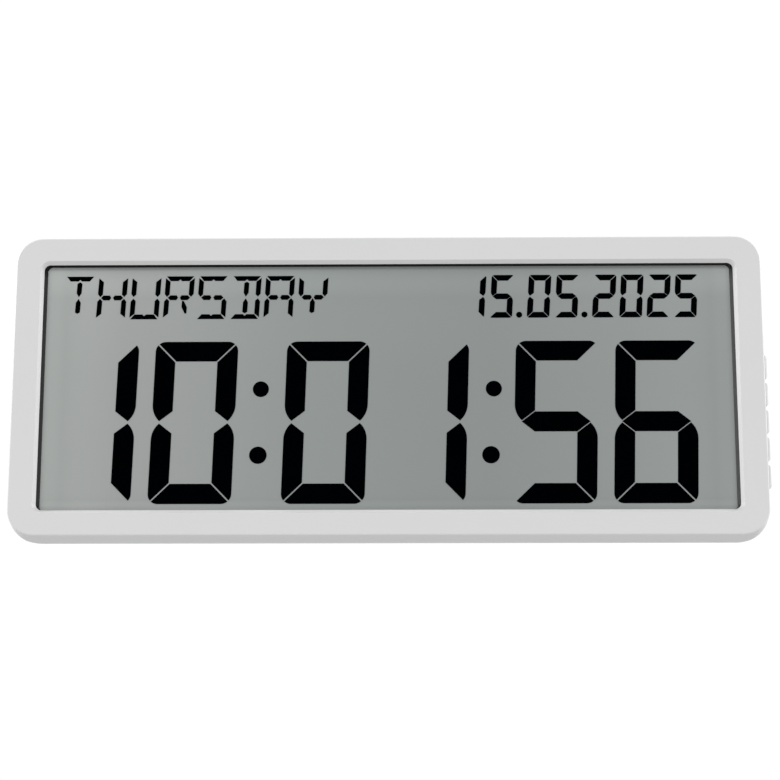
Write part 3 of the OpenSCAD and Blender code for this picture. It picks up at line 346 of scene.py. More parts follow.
finishes["case"] = moulded("case_white", grey(0.548), grey(0.533), 0.42, SATIN_GRAIN)
# The buttons are the case's white plastic made darker: painted shade for their shaded sides.
finishes["buttons"] = moulded("button_white_painted_shade", grey(0.45), grey(0.435), 0.4, FINE_GRAIN)
finishes["retainer"] = moulded(
    "retainer_ivory", rgb(0.62, 0.61, 0.56), rgb(0.57, 0.56, 0.51), 0.5, SATIN_GRAIN)
finishes["switch"] = moulded("switch_black", grey(0.035), grey(0.022), 0.4, FINE_GRAIN)
lead_covers = (
    lead_cover("lead_red", rgb(0.38, 0.02, 0.02), rgb(0.32, 0.015, 0.015)),
    lead_cover("lead_black", grey(0.025), grey(0.018)),
    lead_cover("lead_yellow", rgb(0.62, 0.42, 0.03), rgb(0.56, 0.37, 0.02)))
finishes["leads"] = lead_covers[0]
print("moulded plastics:", len(finishes))

# %% [markdown]
# ## The face of the display
# A reflective display is a grey, slightly green film. Its colour carries painted light: the left end is
# paler than the middle, for the brightness that the liquid crystal shows at this viewing angle, and a
# paler rim along the edges is painted light that makes up for the shade of the case's frame, with a thin
# painted shadow just under the top edge. A painted picture could give that at one size only. Here one
# colour ramp runs along x, and two ramps of painted light and shade run down the height and inwards from
# the ends. A cloudy noise breaks them up, and a very fine grain stands for the anti-glare coating. The
# film hardly reflects, so its specular level is low.

# %% Display face
# Colour from the left end to the right end: the film's own grey-green, with painted light that makes the
# left end paler
TONE_AND_PAINTED_LIGHT_STOPS = (
    (0.0, rgb(0.352, 0.374, 0.36)), (0.12, rgb(0.293, 0.304, 0.299)), (0.38, rgb(0.238, 0.26, 0.253)),
    (0.65, rgb(0.218, 0.236, 0.232)), (0.85, rgb(0.24, 0.26, 0.255)), (1.0, rgb(0.274, 0.295, 0.288)))
# Painted light and shade from the top to the bottom, and from either end inwards: a thin painted shadow
# just under the top edge, and painted light along the top, the bottom and the ends against the frame's
# shade
PAINTED_LIGHT_AND_SHADE_HEIGHT_STOPS = (
    (0.02, grey(0.46)), (0.028, grey(0.66)), (0.045, grey(0.63)), (0.14, grey(0.505)), (0.45, grey(0.48)),
    (0.945, grey(0.475)), (0.972, grey(0.61)), (0.982, grey(0.7)))
PAINTED_LIGHT_END_STOPS = ((0.0, grey(0.6)), (0.3, grey(0.59)), (0.55, grey(0.54)), (1.0, grey(0.5)))
END_REACH = 12 * MM
# The brightness that leaves the colour as it is
UNCHANGED = 0.5
PATCH_SCALE = 14
PATCH_START = 0.35
PATCH_SHARE = 0.25
PATCH_TONE = grey(0.26)
ANTI_GLARE_SCALE = 4200
ANTI_GLARE_SHARE = 0.12
ANTI_GLARE_DEPTH = 0.004 * MM


def display_film_with_painted_light():
    """Grey anti-glare film, with painted light at its left end and along its edges."""
    made = Finish("display_film_with_painted_light", Specular_IOR_Level=0.12, Roughness=0.5)
    low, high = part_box("lcd_front_polariser")
    x, _, z = made.axes()
    from_end = (high.x - low.x) / 2 - abs(x - (low.x + high.x) / 2)
    painted_light_and_shade_by_height = made.ramp(PAINTED_LIGHT_AND_SHADE_HEIGHT_STOPS, (high.z - z) / (high.z - low.z))
    painted_light_by_end = made.ramp(PAINTED_LIGHT_END_STOPS, from_end / END_REACH)
    tone = made.ramp(TONE_AND_PAINTED_LIGHT_STOPS, (x - low.x) / (high.x - low.x))
    # Painted light and shade: the film's colour times the two ramps of painted brightness
    lit = made.mix(1.0, tone, painted_light_and_shade_by_height * painted_light_by_end / UNCHANGED ** 2, "MULTIPLY")
    patch = PATCH_SHARE * (made.noise(PATCH_SCALE) - PATCH_START)
    grain = made.noise(ANTI_GLARE_SCALE, 1.0)
    made.drive("Base Color", made.mix(patch + ANTI_GLARE_SHARE * grain, lit, PATCH_TONE))
    made.bump(grain, ANTI_GLARE_DEPTH, 0.4)
    return made.material


finishes["display_face"] = display_film_with_painted_light()
print("display face, paler at the left end and along the edges")

# %% [markdown]
# ## The lit strokes
# Lit strokes of such a display are a flat, deep blue-black. They lie under the film, so they have no gloss
# of their own. Plain black would do from afar; a slight change of density keeps them from looking printed.

# %% Lit strokes
DENSITY_SCALE = 40


def stroke_ink():
    """Blue-black without gloss."""
    made = Finish("stroke_ink", Specular_IOR_Level=0.0, Roughness=0.6)
    density = made.noise(DENSITY_SCALE, 1.0)
    made.drive("Base Color", made.mix(density, rgb(0.0001, 0.0002, 0.0002), rgb(0.0002, 0.0005, 0.0011)))
    return made.material


finishes["display_image"] = stroke_ink()
print("stroke ink")

# %% [markdown]
# ## Foam
# The gasket is black foam with open pores. A noise would give soft clouds, so a Voronoi texture makes the
# pores. Its colour carries painted shade, darkest along its top under the lip of the case, and painted
# light that makes it a little paler to the right. A ramp and a slope of its tone give that, because the
# gap is too narrow for the lamps to do it.

# %% Foam
PORE_SCALE = 2200
PORE_DEPTH = 0.06 * MM
FOAM_TONE = 0.026
# Painted light: how much paler the foam grows towards its right end
FOAM_PAINTED_LIGHT_RISE = 0.042
# Painted shade: share of the foam's tone from its top edge downwards
FOAM_PAINTED_SHADE = ((0.3, grey(0.15)), (1.0, grey(1.0)))
FOAM_REACH = 10 * MM


def foam():
    """Matt black foam with open pores, with painted shade along its top and painted light to the right."""
    made = Finish("gasket_foam", Specular_IOR_Level=0.15)
    pores = made.shade.node(
        "ShaderNodeTexVoronoi", sockets={"Vector": made.place, "Scale": PORE_SCALE}, out="Distance")
    low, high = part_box("display_gasket")
    x, _, z = made.axes()
    # Painted light to the right and painted shade under the lip
    painted_light_rise = FOAM_PAINTED_LIGHT_RISE * (x - low.x) / (high.x - low.x) * (0.5 + pores)
    shade = made.ramp(FOAM_PAINTED_SHADE, (high.z - z) / FOAM_REACH)
    made.drive("Base Color", (FOAM_TONE + painted_light_rise) * shade)
    made.gloss(0.8, 0.15, pores)
    made.bump(pores, PORE_DEPTH, 0.6)
    return made.material


finishes["gasket"] = foam()
print("foam")

# %% [markdown]
# ## Striped plastics
# The rubber connector strip is built of thin conducting and insulating layers, so it is striped along its
# length. The ribbon is grey with one red edge wire, and the capacitors' sleeves have a pale stripe. A wave
# texture has soft edges, so the stripes are a remainder and a threshold along one axis.

# %% Striped plastics
RIBBON_WIRES = 6
LAYER_PITCH = 0.6 * MM
CAPACITOR_PITCH = 5 * MM
WEAR_SCALE = 160
WEAR_SWING = 0.15
WEAR_DEPTH = 0.03 * MM


def striped(name, axis, pitch, share, first, second, roughness, start=0.0):
    """Stripes across one axis: share of each pitch, counted from the start, has the first colour."""
    made = Finish(name)
    stripe = ((made.axes()[axis] - start) % pitch) < pitch * share
    made.drive("Base Color", made.mix(stripe, second, first))
    wear = made.noise(WEAR_SCALE)
    made.gloss(roughness - WEAR_SWING / 2, WEAR_SWING, wear)
    made.bump(stripe + 0.2 * wear, WEAR_DEPTH, 0.5)
    return made.material


ribbon_low, ribbon_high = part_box("button_ribbon")
ribbon_width = ribbon_high.z - ribbon_low.z
finishes["zebra"] = striped(
    "connector_rubber", 0, LAYER_PITCH, 0.5, rgb(0.62, 0.33, 0.33), grey(0.05), 0.6)
finishes["ribbon"] = striped(
    "ribbon_grey", 2, ribbon_width, 1 / RIBBON_WIRES, rgb(0.4, 0.03, 0.03), grey(0.42), 0.45, ribbon_low.z)
finishes["capacitor"] = striped(
    "capacitor_sleeve", 0, CAPACITOR_PITCH, 0.25, grey(0.55), rgb(0.02, 0.035, 0.16), 0.3)
print("striped finishes; finishes so far:", len(finishes))

# %% [markdown]
# ## Circuit boards
# A solder-masked board is dark green with paler traces under the mask, and tinned pads where it is bare.
# Traces could be modelled one by one, but they are thinner than paint, so the shader draws them. They run
# straight in lanes, lengthwise and across, and each lane has breaks of its own: the whole number of the
# lane picks another row of a noise. The pads stand on a grid, and a noise says which squares have one.

# %% Circuit boards
TRACE_WIDTH = 0.45 * MM
LANE_PITCH = 1.27 * MM
CROSS_PITCH = 5 * LANE_PITCH
PAD_PITCH = 4 * LANE_PITCH
PAD_RADIUS = 0.8 * MM
PAD_SHARE = 0.3
BREAK_SCALE = 45
LANE_STEP = 0.37
SPECKLE_SCALE = 900
TRACE_DEPTH = 0.03 * MM
MASK_GREEN = rgb(0.012, 0.1, 0.035)
TRACE_GREEN = rgb(0.028, 0.17, 0.06)
TIN = rgb(0.6, 0.6, 0.57)


def trace_runs(made, along, across, pitch, least):
    """Straight traces in lanes; a trace is there where its lane's noise is above the least value."""
    lane = made.shade.math("FLOOR", across / pitch)
    spot = made.shade.node("ShaderNodeCombineXYZ", sockets={0: along, 1: LANE_STEP * lane})
    return (across % pitch < TRACE_WIDTH) * (made.noise_at(spot, BREAK_SCALE, 0.0) > least)


def pad_dots(made, x, z):
    """Round pads on some squares of a grid."""
    column = made.shade.math("FLOOR", x / PAD_PITCH)
    row = made.shade.math("FLOOR", z / PAD_PITCH)
    spot = made.shade.node("ShaderNodeCombineXYZ", sockets={0: column, 1: row})
    chance = made.shade.node("ShaderNodeTexWhiteNoise", sockets={"Vector": spot}, out="Value")
    from_x = x % PAD_PITCH - PAD_PITCH / 2
    from_z = z % PAD_PITCH - PAD_PITCH / 2
    return (from_x * from_x + from_z * from_z < PAD_RADIUS ** 2) * (chance < PAD_SHARE)


def board_mask():
    """Green solder mask over straight copper traces, with tinned pads."""
    made = Finish("board_mask", IOR=1.5)
    x, _, z = made.axes()
    lengthwise = trace_runs(made, x, z, LANE_PITCH, 0.5)
    traces = lengthwise + trace_runs(made, z, x, CROSS_PITCH, 0.52) > 0.5
    pads = pad_dots(made, x, z)
    speckle = made.noise(SPECKLE_SCALE, 1.0)
    made.drive("Base Color", made.mix(pads, made.mix(traces, MASK_GREEN, TRACE_GREEN), TIN))
    made.drive("Metallic", pads)
    made.gloss(0.3, 0.12, speckle)
    made.bump(traces + pads + 0.1 * speckle, TRACE_DEPTH, 0.7)
    return made.material


finishes["board"] = board_mask()
print("circuit board")

# %% [markdown]
# ## Resin, ferrite, metals and glass
# Most of these hide inside the case. Potting resin is glossy black with a slow swell, and ferrite is a
# dull grey ceramic with tiny chips. Screws are zinc plated, springs and contacts nickel plated, the
# reflector is a brushed film and the aerial is enamelled copper. Each could have a recipe of its own, but
# all need one pattern, at its own scale, that changes colour, gloss and height together, so they share
# one. Streaks are a noise stretched along one axis. The two glass plates are clear with a green cast,
# and they are made apart.

# %% Resin, ferrite, metals and glass
STREAK_SCALE = 1400
STREAK_SWING = 0.2
STREAK_DEPTH = 0.008 * MM
BRUSHED = (0.02, 1, 1)
SMEAR_SCALE = 30


def patterned(made, pattern, dark, light, least, swing, depth, strength):
    """Lets one pattern change a finish's colour, gloss and height together."""
    made.drive("Base Color", made.mix(pattern, dark, light))
    made.gloss(least, swing, pattern)
    made.bump(pattern, depth, strength)
    return made.material


def resin():
    """Glossy black potting resin with a slow swell."""
    made = Finish("potting_resin", IOR=1.52)
    return patterned(made, made.noise(220), grey(0.008), grey(0.016), 0.12, 0.1, 0.08 * MM, 0.5)


def sintered():
    """Dull ferrite with tiny chips."""
    made = Finish("ferrite_grey", IOR=2.2)
    return patterned(made, made.noise(700, 4.0), grey(0.03), grey(0.075), 0.45, 0.25, 0.05 * MM, 0.5)


def metal(name, light, dark, roughness, stretch=(1, 1, 1)):
    """Metal with fine streaks along one axis."""
    made = Finish(name, Metallic=1.0)
    streak = made.noise(STREAK_SCALE, 3.0, stretch)
    return patterned(
        made, streak, dark, light, roughness - STREAK_SWING / 2, STREAK_SWING, STREAK_DEPTH, 0.4)


def plate_glass():
    """Clear plate glass with a green cast."""
    made = Finish("plate_glass", Transmission_Weight=1.0, IOR=1.52)
    smear = made.noise(SMEAR_SCALE, 3.0)
    made.drive("Base Color", made.mix(smear, rgb(0.86, 0.93, 0.9), rgb(0.9, 0.95, 0.93)))
    made.gloss(0.02, 0.03, smear)
    return made.material


finishes["potting"] = resin()
finishes["ferrite"] = sintered()
finishes["steel"] = metal("zinc_plate", rgb(0.62, 0.63, 0.66), rgb(0.48, 0.49, 0.52), 0.34)
finishes["spring_steel"] = metal("nickel_plate", rgb(0.72, 0.7, 0.66), rgb(0.6, 0.58, 0.55), 0.22)
finishes["reflector"] = metal(
    "reflector_film", rgb(0.7, 0.7, 0.66), rgb(0.62, 0.62, 0.58), 0.4, BRUSHED)
finishes["copper"] = metal("enamelled_copper", rgb(0.72, 0.33, 0.13), rgb(0.55, 0.22, 0.08), 0.28)
finishes["cell"] = metal("cell_steel", rgb(0.66, 0.65, 0.62), rgb(0.5, 0.5, 0.48), 0.3)
finishes["glass"] = plate_glass()
print("resin, ferrite, metals and glass; finishes so far:", len(finishes))

# %% [markdown]
# ## Dressing the CAD pieces
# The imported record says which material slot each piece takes. Finishes could be assigned piece by piece,
# but one loop over the record can't forget any. The floor gets a finish too: a pale seamless paper with a
# faint fibre.

# %% Give the pieces their finishes
FLOOR_TONE = 0.6
FIBRE_TONE = 0.01
FIBRE_SCALE = 60

for part in frame["record"]["subparts"]:
    piece = frame["nodes"][part["node"]]
    piece.data.materials.clear()
    piece.data.materials.append(finishes[part["material_slot"]])

paper = Finish("studio_paper", Roughness=0.9, Specular_IOR_Level=0.1)
fibre = paper.noise(FIBRE_SCALE, 3.0)
paper.drive("Base Color", paper.mix(fibre, grey(FLOOR_TONE - FIBRE_TONE), grey(FLOOR_TONE + FIBRE_TONE)))
floor_mesh.materials.append(paper.material)

# %% [markdown]
# ## New pieces
# A few pieces are modelled again with mesh operators. They could be made in edit mode, but a bmesh needs
# no selection and gives the same result each time. One helper turns a finished bmesh into an object that
# sits at the origin, rides on the case and takes a finish.

# %% Finished piece
SAME_POINT = 0.001 * MM


def finished(name, shape, slot, *materials, replaced=()):
    """Makes an object of a bmesh; it rides on the case and stands for the CAD nodes it replaces."""
    mesh = bpy.data.meshes.new(name)
    shape.to_mesh(mesh)
    shape.free()
    for material in materials or (finishes[slot],):
        mesh.materials.append(material)
    piece = bpy.data.objects.new(name, mesh)
    scene.collection.objects.link(piece)
    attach(piece, "case")
    if replaced:
        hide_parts(*replaced)
    print(name, len(mesh.polygons), "faces")
    return piece


def smooth(piece, angle):
    """Smooth shading, with edges sharper than the angle kept crisp."""
    piece.data.polygons.foreach_set("use_smooth", [True] * len(piece.data.polygons))
    piece.data.set_sharp_from_angle(angle=math.radians(angle))


def close_seams(shape):
    """Merges points that coincide, then turns all faces outwards."""
    bmesh.ops.remove_doubles(shape, verts=shape.verts, dist=SAME_POINT)
    bmesh.ops.recalc_face_normals(shape, faces=shape.faces)


print("piece helper ready")

# %% [markdown]
# ### The weekday
# Above the time, the display spells the weekday with letters of fourteen strokes: the seven of a number,
# with the middle one split, and two uprights and four diagonals inside. A text object has no such letters.
# So each stroke is a small outline, drawn once for the upper left quarter, mirrored for the others, and
# given the thickness of the image.

# %% Strokes of a letter
LETTER_W = 14.45 * MM
LETTER_H = 22.1 * MM
LETTER_STROKE = 2.45 * MM
LETTER_SLIT = 0.45 * MM
# Shares of a stroke's width: the notch in the bars' middle, and how far a side keeps from mid height
NOTCH_SHARE = 0.35
SIDE_SHARE = 0.8
# Share of a diagonal's height that its slanted end takes
BLADE_SHARE = 0.5


def letter_strokes():
    """Outlines of the fourteen strokes, by name, in a box of the letter's width and height."""
    w, h, t, g = LETTER_W, LETTER_H, LETTER_STROKE, LETTER_SLIT
    mid = w / 2
    half_t = t / 2
    notch = t * NOTCH_SHARE
    top = [(g, h), (w - g, h), (w - t, h - t), (mid + notch, h - t),
           (mid, h - t + notch), (mid - notch, h - t), (t, h - t)]
    side = [(0, h - 2 * g), (t, h - t - g), (t, h / 2 + half_t + g),
            (half_t, h / 2 + g), (0, h / 2 + t * SIDE_SHARE)]
    half = [(half_t + g, h / 2), (t + g, h / 2 + half_t), (mid - half_t, h / 2 + half_t),
            (mid - g, h / 2), (mid - half_t, h / 2 - half_t), (t + g, h / 2 - half_t)]
    upright = [(mid - half_t, h - t - half_t), (mid, h - t - g), (mid + half_t, h - t - half_t),
               (mid + half_t, h / 2 + t), (mid, h / 2 + g), (mid - half_t, h / 2 + t)]
    near = t + g
    far = mid - half_t - g
    high = h - t - g
    low = h / 2 + half_t + g
    blade = BLADE_SHARE * (high - low)
    slant = [(near, high), (near + 2 * g, high), (far, low + blade),
             (far, low), (far - 2 * g, low), (near, high - blade)]

    def across(points):
        return [(w - x, y) for x, y in points]

    def below(points):
        return [(x, h - y) for x, y in points]

    return {
        "top": top, "bottom": below(top),
        "left_high": side, "right_high": across(side),
        "left_low": below(side), "right_low": across(below(side)),
        "half_left": half, "half_right": across(half),
        "stem_high": upright, "stem_low": below(upright),
        "slant_left_high": slant, "slant_right_high": across(slant),
        "slant_left_low": below(slant), "slant_right_low": across(below(slant)),
    }


LEFT = ("left_high", "left_low")
RIGHT = ("right_high", "right_low")
HALVES = ("half_left", "half_right")
STEM = ("stem_high", "stem_low")
LETTERS = {
    "T": ("top", *STEM),
    "H": (*LEFT, *RIGHT, *HALVES),
    "U": (*LEFT, *RIGHT, "bottom"),
    "R": ("top", *LEFT, "right_high", *HALVES, "slant_right_low"),
    "S": ("top", "left_high", *HALVES, "right_low", "bottom"),
    "D": ("top", "bottom", *RIGHT, *STEM),
    "A": ("top", *LEFT, *RIGHT, *HALVES),
    "Y": ("left_high", "right_high", *HALVES, "stem_low"),
}
print("letters", "".join(LETTERS))

# %% Weekday word
WEEKDAY = "THURSDAY"
WEEKDAY_LEFT = 11.43 * MM
WEEKDAY_DROP = 0.2 * MM
LETTER_PITCH = 16.69 * MM
LETTER_LEAN = 0.055


def add_stroke(shape, outline, left, low, front, depth):
    """One leaning stroke, as thick as the image."""
    corners = [shape.verts.new((left + x + LETTER_LEAN * y, front, low + y)) for x, y in outline]
    face = shape.faces.new(corners)
    grown = bmesh.ops.extrude_face_region(shape, geom=[face])
    moved = [item for item in grown["geom"] if isinstance(item, bmesh.types.BMVert)]
    bmesh.ops.translate(shape, verts=moved, vec=(0, depth, 0))


image_low, image_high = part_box("date_segments")
first_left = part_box("display_gasket")[0].x + WEEKDAY_LEFT
word = bmesh.new()
outlines = letter_strokes()
for place, letter in enumerate(WEEKDAY):
    letter_left = first_left + place * LETTER_PITCH
    for stroke in LETTERS[letter]:
        add_stroke(word, outlines[stroke], letter_left, image_low.z - WEEKDAY_DROP,
                   image_low.y, image_high.y - image_low.y)
bmesh.ops.recalc_face_normals(word, faces=word.faces)
finished("weekday_segments", word, "display_image")

# %% [markdown]
# ### The foam gasket
# The gasket is cut from sheet foam: a wide frame whose opening has rounded corners, and whose cut edges
# are a little soft. It could be a swept curve, but a sweep thins out in the corners. Here it starts as a
# block. Its front and back faces are inset to the opening and bridged, which cuts the hole, and bevels
# round the corners and the rims.

# %% Foam gasket
FIRST_INSET = 1.0 * MM
GASKET_CORNER = 3.2 * MM
CORNER_SEGMENTS = 6
GASKET_ROUND = 0.15 * MM
ROUND_SEGMENTS = 3
RIM_ANGLE = 1.0
OUTER_EDGE = 0.1 * MM


def frame_opening(mesh, low, high):
    """Corners of the opening in a rectangular frame: its points that don't lie on the outside."""
    inside = [v.co for v in mesh.vertices
              if low.x + OUTER_EDGE < v.co.x < high.x - OUTER_EDGE
              and low.z + OUTER_EDGE < v.co.z < high.z - OUTER_EDGE]
    xs = [co.x for co in inside]
    zs = [co.z for co in inside]
    return Vector((min(xs), low.y, min(zs))), Vector((max(xs), high.y, max(zs)))


def lies_along_y(edge):
    """Whether an edge runs from the front to the back."""
    span = edge.verts[1].co - edge.verts[0].co
    return abs(span.y) > 0.9 * span.length


def rounded(shape, edges, radius, segments):
    """Rounds some edges."""
    bmesh.ops.bevel(shape, geom=edges, offset=radius, segments=segments, profile=0.5,
                    affect="EDGES", material=-1)


def foam_frame():
    """Rectangular frame of foam, in the place of its CAD solid."""
    low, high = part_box("display_gasket")
    centre = (low + high) / 2
    hole_low, hole_high = frame_opening(frame["nodes"]["display_gasket"].data, low, high)
    shape = bmesh.new()
    bmesh.ops.create_cube(shape, size=1.0)
    bmesh.ops.scale(shape, vec=high - low, verts=shape.verts)
    bmesh.ops.translate(shape, vec=centre, verts=shape.verts)
    ends = [face for face in shape.faces if abs(face.normal.y) > 0.5]
    for face in ends:
        bmesh.ops.inset_individual(shape, faces=[face], thickness=FIRST_INSET)
        for corner in face.verts:
            corner.co.x = hole_low.x if corner.co.x < 0 else hole_high.x
            corner.co.z = hole_low.z if corner.co.z < centre.z else hole_high.z
    bmesh.ops.bridge_loops(shape, edges=[edge for face in ends for edge in face.edges])
    bmesh.ops.delete(shape, geom=ends, context="FACES_ONLY")
    corners = [edge for edge in shape.edges if lies_along_y(edge)
               and hole_low.x - MM < edge.verts[0].co.x < hole_high.x + MM]
    rounded(shape, corners, GASKET_CORNER, CORNER_SEGMENTS)
    rims = [edge for edge in shape.edges if edge.calc_face_angle(0) > RIM_ANGLE]
    rounded(shape, rims, GASKET_ROUND, ROUND_SEGMENTS)
    bmesh.ops.recalc_face_normals(shape, faces=shape.faces)
    return shape


smooth(finished("gasket_foam", foam_frame(), "gasket", replaced=["display_gasket"]), 40)

# %% [markdown]
# ### The cells
# The two cells are plain sleeved dry cells: a pale grey sleeve with one dark blue band at the flat end,
# and a plus sign near the nub. The two lie head to tail, so each gets its own sleeve, measured from its
# own end. The print could be a picture on a UV map, but the band and the sign are only a few thresholds.

# %% Cell sleeve
BAND_START = 34 * MM
SIGN_PLACE = 9 * MM
SIGN_REACH = 1.6 * MM
SIGN_HALF = 0.35 * MM
SCUFF_SCALE = 300
SCUFF_DEPTH = 0.01 * MM


def cell_sleeve(name, nub_x, inward, axis_z):
    """Printed sleeve: inward is +1 if the cell runs towards +X from its nub."""
    made = Finish(name, IOR=1.5)
    x, _, z = made.axes()
    along = inward * (x - nub_x)
    across = abs(z - axis_z)
    reach = abs(along - SIGN_PLACE)
    upright = (reach < SIGN_HALF) * (across < SIGN_REACH)
    level = (reach < SIGN_REACH) * (across < SIGN_HALF)
    sign = (upright + level) > 0.5
    plain = made.mix(along > BAND_START, grey(0.5), rgb(0.02, 0.045, 0.12))
    scuff = made.noise(SCUFF_SCALE, 3.0)
    made.drive("Base Color", made.mix(sign, plain, grey(0.03)))
    made.gloss(0.25, 0.2, scuff)
    made.bump(scuff, SCUFF_DEPTH, 0.4)
    return made.material


print("cell sleeve ready")

# %% [markdown]
# A dry cell is a turned shape: a flat base, a crimped edge, a straight sleeve and a stepped nub. Cylinders
# could be stacked, but each would need its own rim. So half the cell's outline is drawn as a few points
# from the nub to the base and spun round its axis. The steel ends and the printed sleeve are two materials
# on one mesh.

# %% Sleeved cells
SPIN_STEPS = 64
# Outline in mm from the nub inwards: distance, radius, and whether the next stretch is sleeve
CELL_OUTLINE = (
    (0.0, 0.0, False), (0.0, 2.3, False), (0.15, 2.6, False), (0.35, 2.75, False), (1.35, 2.75, False),
    (1.55, 3.0, False), (1.6, 5.6, False), (1.5, 5.8, True), (1.5, 6.7, True), (1.62, 7.0, True),
    (1.95, 7.2, True), (2.3, 7.25, True), (49.6, 7.25, True), (50.0, 7.18, True), (50.3, 6.95, True),
    (50.42, 6.6, True), (50.42, 6.2, False), (50.3, 6.0, False), (50.45, 5.6, False), (50.45, 0.0, False))


def spun(outline, axis, closed=False):
    """An outline of places along x and radii, spun a full turn round a line along x."""
    shape = bmesh.new()
    points = [shape.verts.new((x, axis.y, axis.z + radius)) for x, radius in outline]
    following = points[1:] + points[:1] if closed else points[1:]
    edges = [shape.edges.new(pair) for pair in zip(points, following)]
    bmesh.ops.spin(shape, geom=points + edges, cent=(0, axis.y, axis.z), axis=(1, 0, 0),
                   angle=2 * math.pi, steps=SPIN_STEPS, use_merge=True)
    close_seams(shape)
    return shape


def on_sleeve(along, radius):
    """Whether a face belongs to the sleeve: the stretch of the outline nearest to it says so."""
    def distance(stretch):
        (a0, r0, _), (a1, r1, _) = stretch
        return math.hypot((a0 + a1) / 2 - along, (r0 + r1) / 2 - radius)

    return min(zip(CELL_OUTLINE, CELL_OUTLINE[1:]), key=distance)[0][2]


def turned_cell(node, inward):
    """A cell spun round its own axis, in the place of its CAD solid."""
    low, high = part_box(node)
    axis = (low + high) / 2
    nub_x = low.x if inward > 0 else high.x
    shape = spun([(nub_x + inward * along * MM, radius * MM) for along, radius, _ in CELL_OUTLINE], axis)
    for face in shape.faces:
        centre = face.calc_center_median()
        along = inward * (centre.x - nub_x) / MM
        radius = math.hypot(centre.y - axis.y, centre.z - axis.z) / MM
        face.material_index = int(on_sleeve(along, radius))
    sleeve = cell_sleeve(node + "_sleeve", nub_x, inward, axis.z)
    smooth(finished(node + "_dressed", shape, "cell", finishes["cell"], sleeve, replaced=[node]), 30)


turned_cell("upper_cell", -1)
turned_cell("lower_cell", 1)

# %% [markdown]
# ### The battery springs
# Each cell is pressed by a conical spring of round wire. A six-sided tube shows its corners in a close
# view, so the springs are drawn again along the same cone. The Screw modifier makes coils too, but a curve
# with a round bevel also takes the straight ends that touch the plate and the cell.

# %% Battery springs
SPRING_TURNS = 3.5
SPRING_WIDE = 4.5 * MM
SPRING_TIGHT = 2.8 * MM
SPRING_WIRE = 0.35 * MM
SPRING_LENGTH = 6 * MM
POINTS_A_TURN = 24
WIRE_ROUNDNESS = 4


def spring_wire(curve, start, inward):
    """One conical spring from its contact plate towards its cell."""
    line = curve.splines.new("POLY")
    count = int(SPRING_TURNS * POINTS_A_TURN)
    lead_in = 2 * SPRING_WIRE
    route = [start + Vector((0, 0, SPRING_WIDE))]
    for step in range(count + 1):
        share = step / count
        angle = 2 * math.pi * SPRING_TURNS * share
        radius = SPRING_WIDE + (SPRING_TIGHT - SPRING_WIDE) * share
        along = lead_in + (SPRING_LENGTH - 2 * lead_in) * share
        route.append(start + Vector((inward * along, -radius * math.sin(angle), radius * math.cos(angle))))
    end = route[-1].copy()
    end.x = start.x + inward * SPRING_LENGTH
    route.append(end)
    line.points.add(len(route) - 1)
    for point, place in zip(line.points, route):
        point.co = (*place, 1)


def battery_springs():
    """Both springs as one mesh of round wire."""
    curve = bpy.data.curves.new("spring_route", "CURVE")
    curve.dimensions = "3D"
    curve.bevel_depth = SPRING_WIRE
    curve.bevel_resolution = WIRE_ROUNDNESS
    curve.use_fill_caps = True
    low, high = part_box("battery_springs")
    for cell, inward in (("upper_cell", 1), ("lower_cell", -1)):
        cell_low, cell_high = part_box(cell)
        axis = (cell_low + cell_high) / 2
        spring_wire(curve, Vector((low.x if inward > 0 else high.x, axis.y, axis.z)), inward)
    helper = bpy.data.objects.new("spring_route", curve)
    shape = bmesh.new()
    shape.from_mesh(helper.to_mesh())
    helper.to_mesh_clear()
    bpy.data.objects.remove(helper)
    close_seams(shape)
    return shape


smooth(finished("round_wire_springs", battery_springs(), "spring_steel", replaced=["battery_springs"]), 60)

# %% [markdown]
# ### The leads
# The leads are thin covered wires between the boards, the aerial and the battery. New curves would have to
# repeat their whole route. So a copy of each CAD tube is merged and subdivided, which rounds it and keeps
# the route, and each lead of a set gets its own colour.

# %% Leads
LEAD_LEVELS = 2


def separate_leads(shape):
    """The faces of each lead: those that edges join to one another."""
    leads = []
    seen = set()
    for start in shape.faces:
        if start in seen:
            continue
        lead = [start]
        seen.add(start)
        for face in lead:
            for edge in face.edges:
                fresh = [near for near in edge.link_faces if near not in seen]
                seen.update(fresh)
                lead.extend(fresh)
        leads.append(lead)
    return leads


def rounded_leads(node):
    """A merged copy of a node's tubes, one colour to a lead, subdivided until they are round."""
    shape = bmesh.new()
    shape.from_mesh(frame["nodes"][node].data)
    close_seams(shape)
    leads = separate_leads(shape)
    for number, lead in enumerate(leads):
        for face in lead:
            face.material_index = number
    piece = finished("round_" + node, shape, "leads", *lead_covers[:len(leads)], replaced=[node])
    rounder = piece.modifiers.new("round", "SUBSURF")
    rounder.levels = LEAD_LEVELS
    rounder.render_levels = LEAD_LEVELS
    smooth(piece, 180)


for node in ("aerial_leads", "receiver_leads", "battery_leads"):
    rounded_leads(node)

# %% [markdown]
# ### The ribbon
# A ribbon cable is a row of covered wires fused side by side, so both its faces are ribbed. Bump alone
# would leave its edge flat, so its end is drawn as one outline of lobes. That loop is pulled away from
# the button board, spun through a right angle, which gives the bend its radius, and pulled down to the
# main board. Then both ends are filled.

# %% Ribbed ribbon
RIBBON_THICK = 0.9 * MM
RIBBON_BEND = 0.95 * MM
BEND_STEPS = 8
LOBE_POINTS = 6
VALLEY_SHARE = 0.5


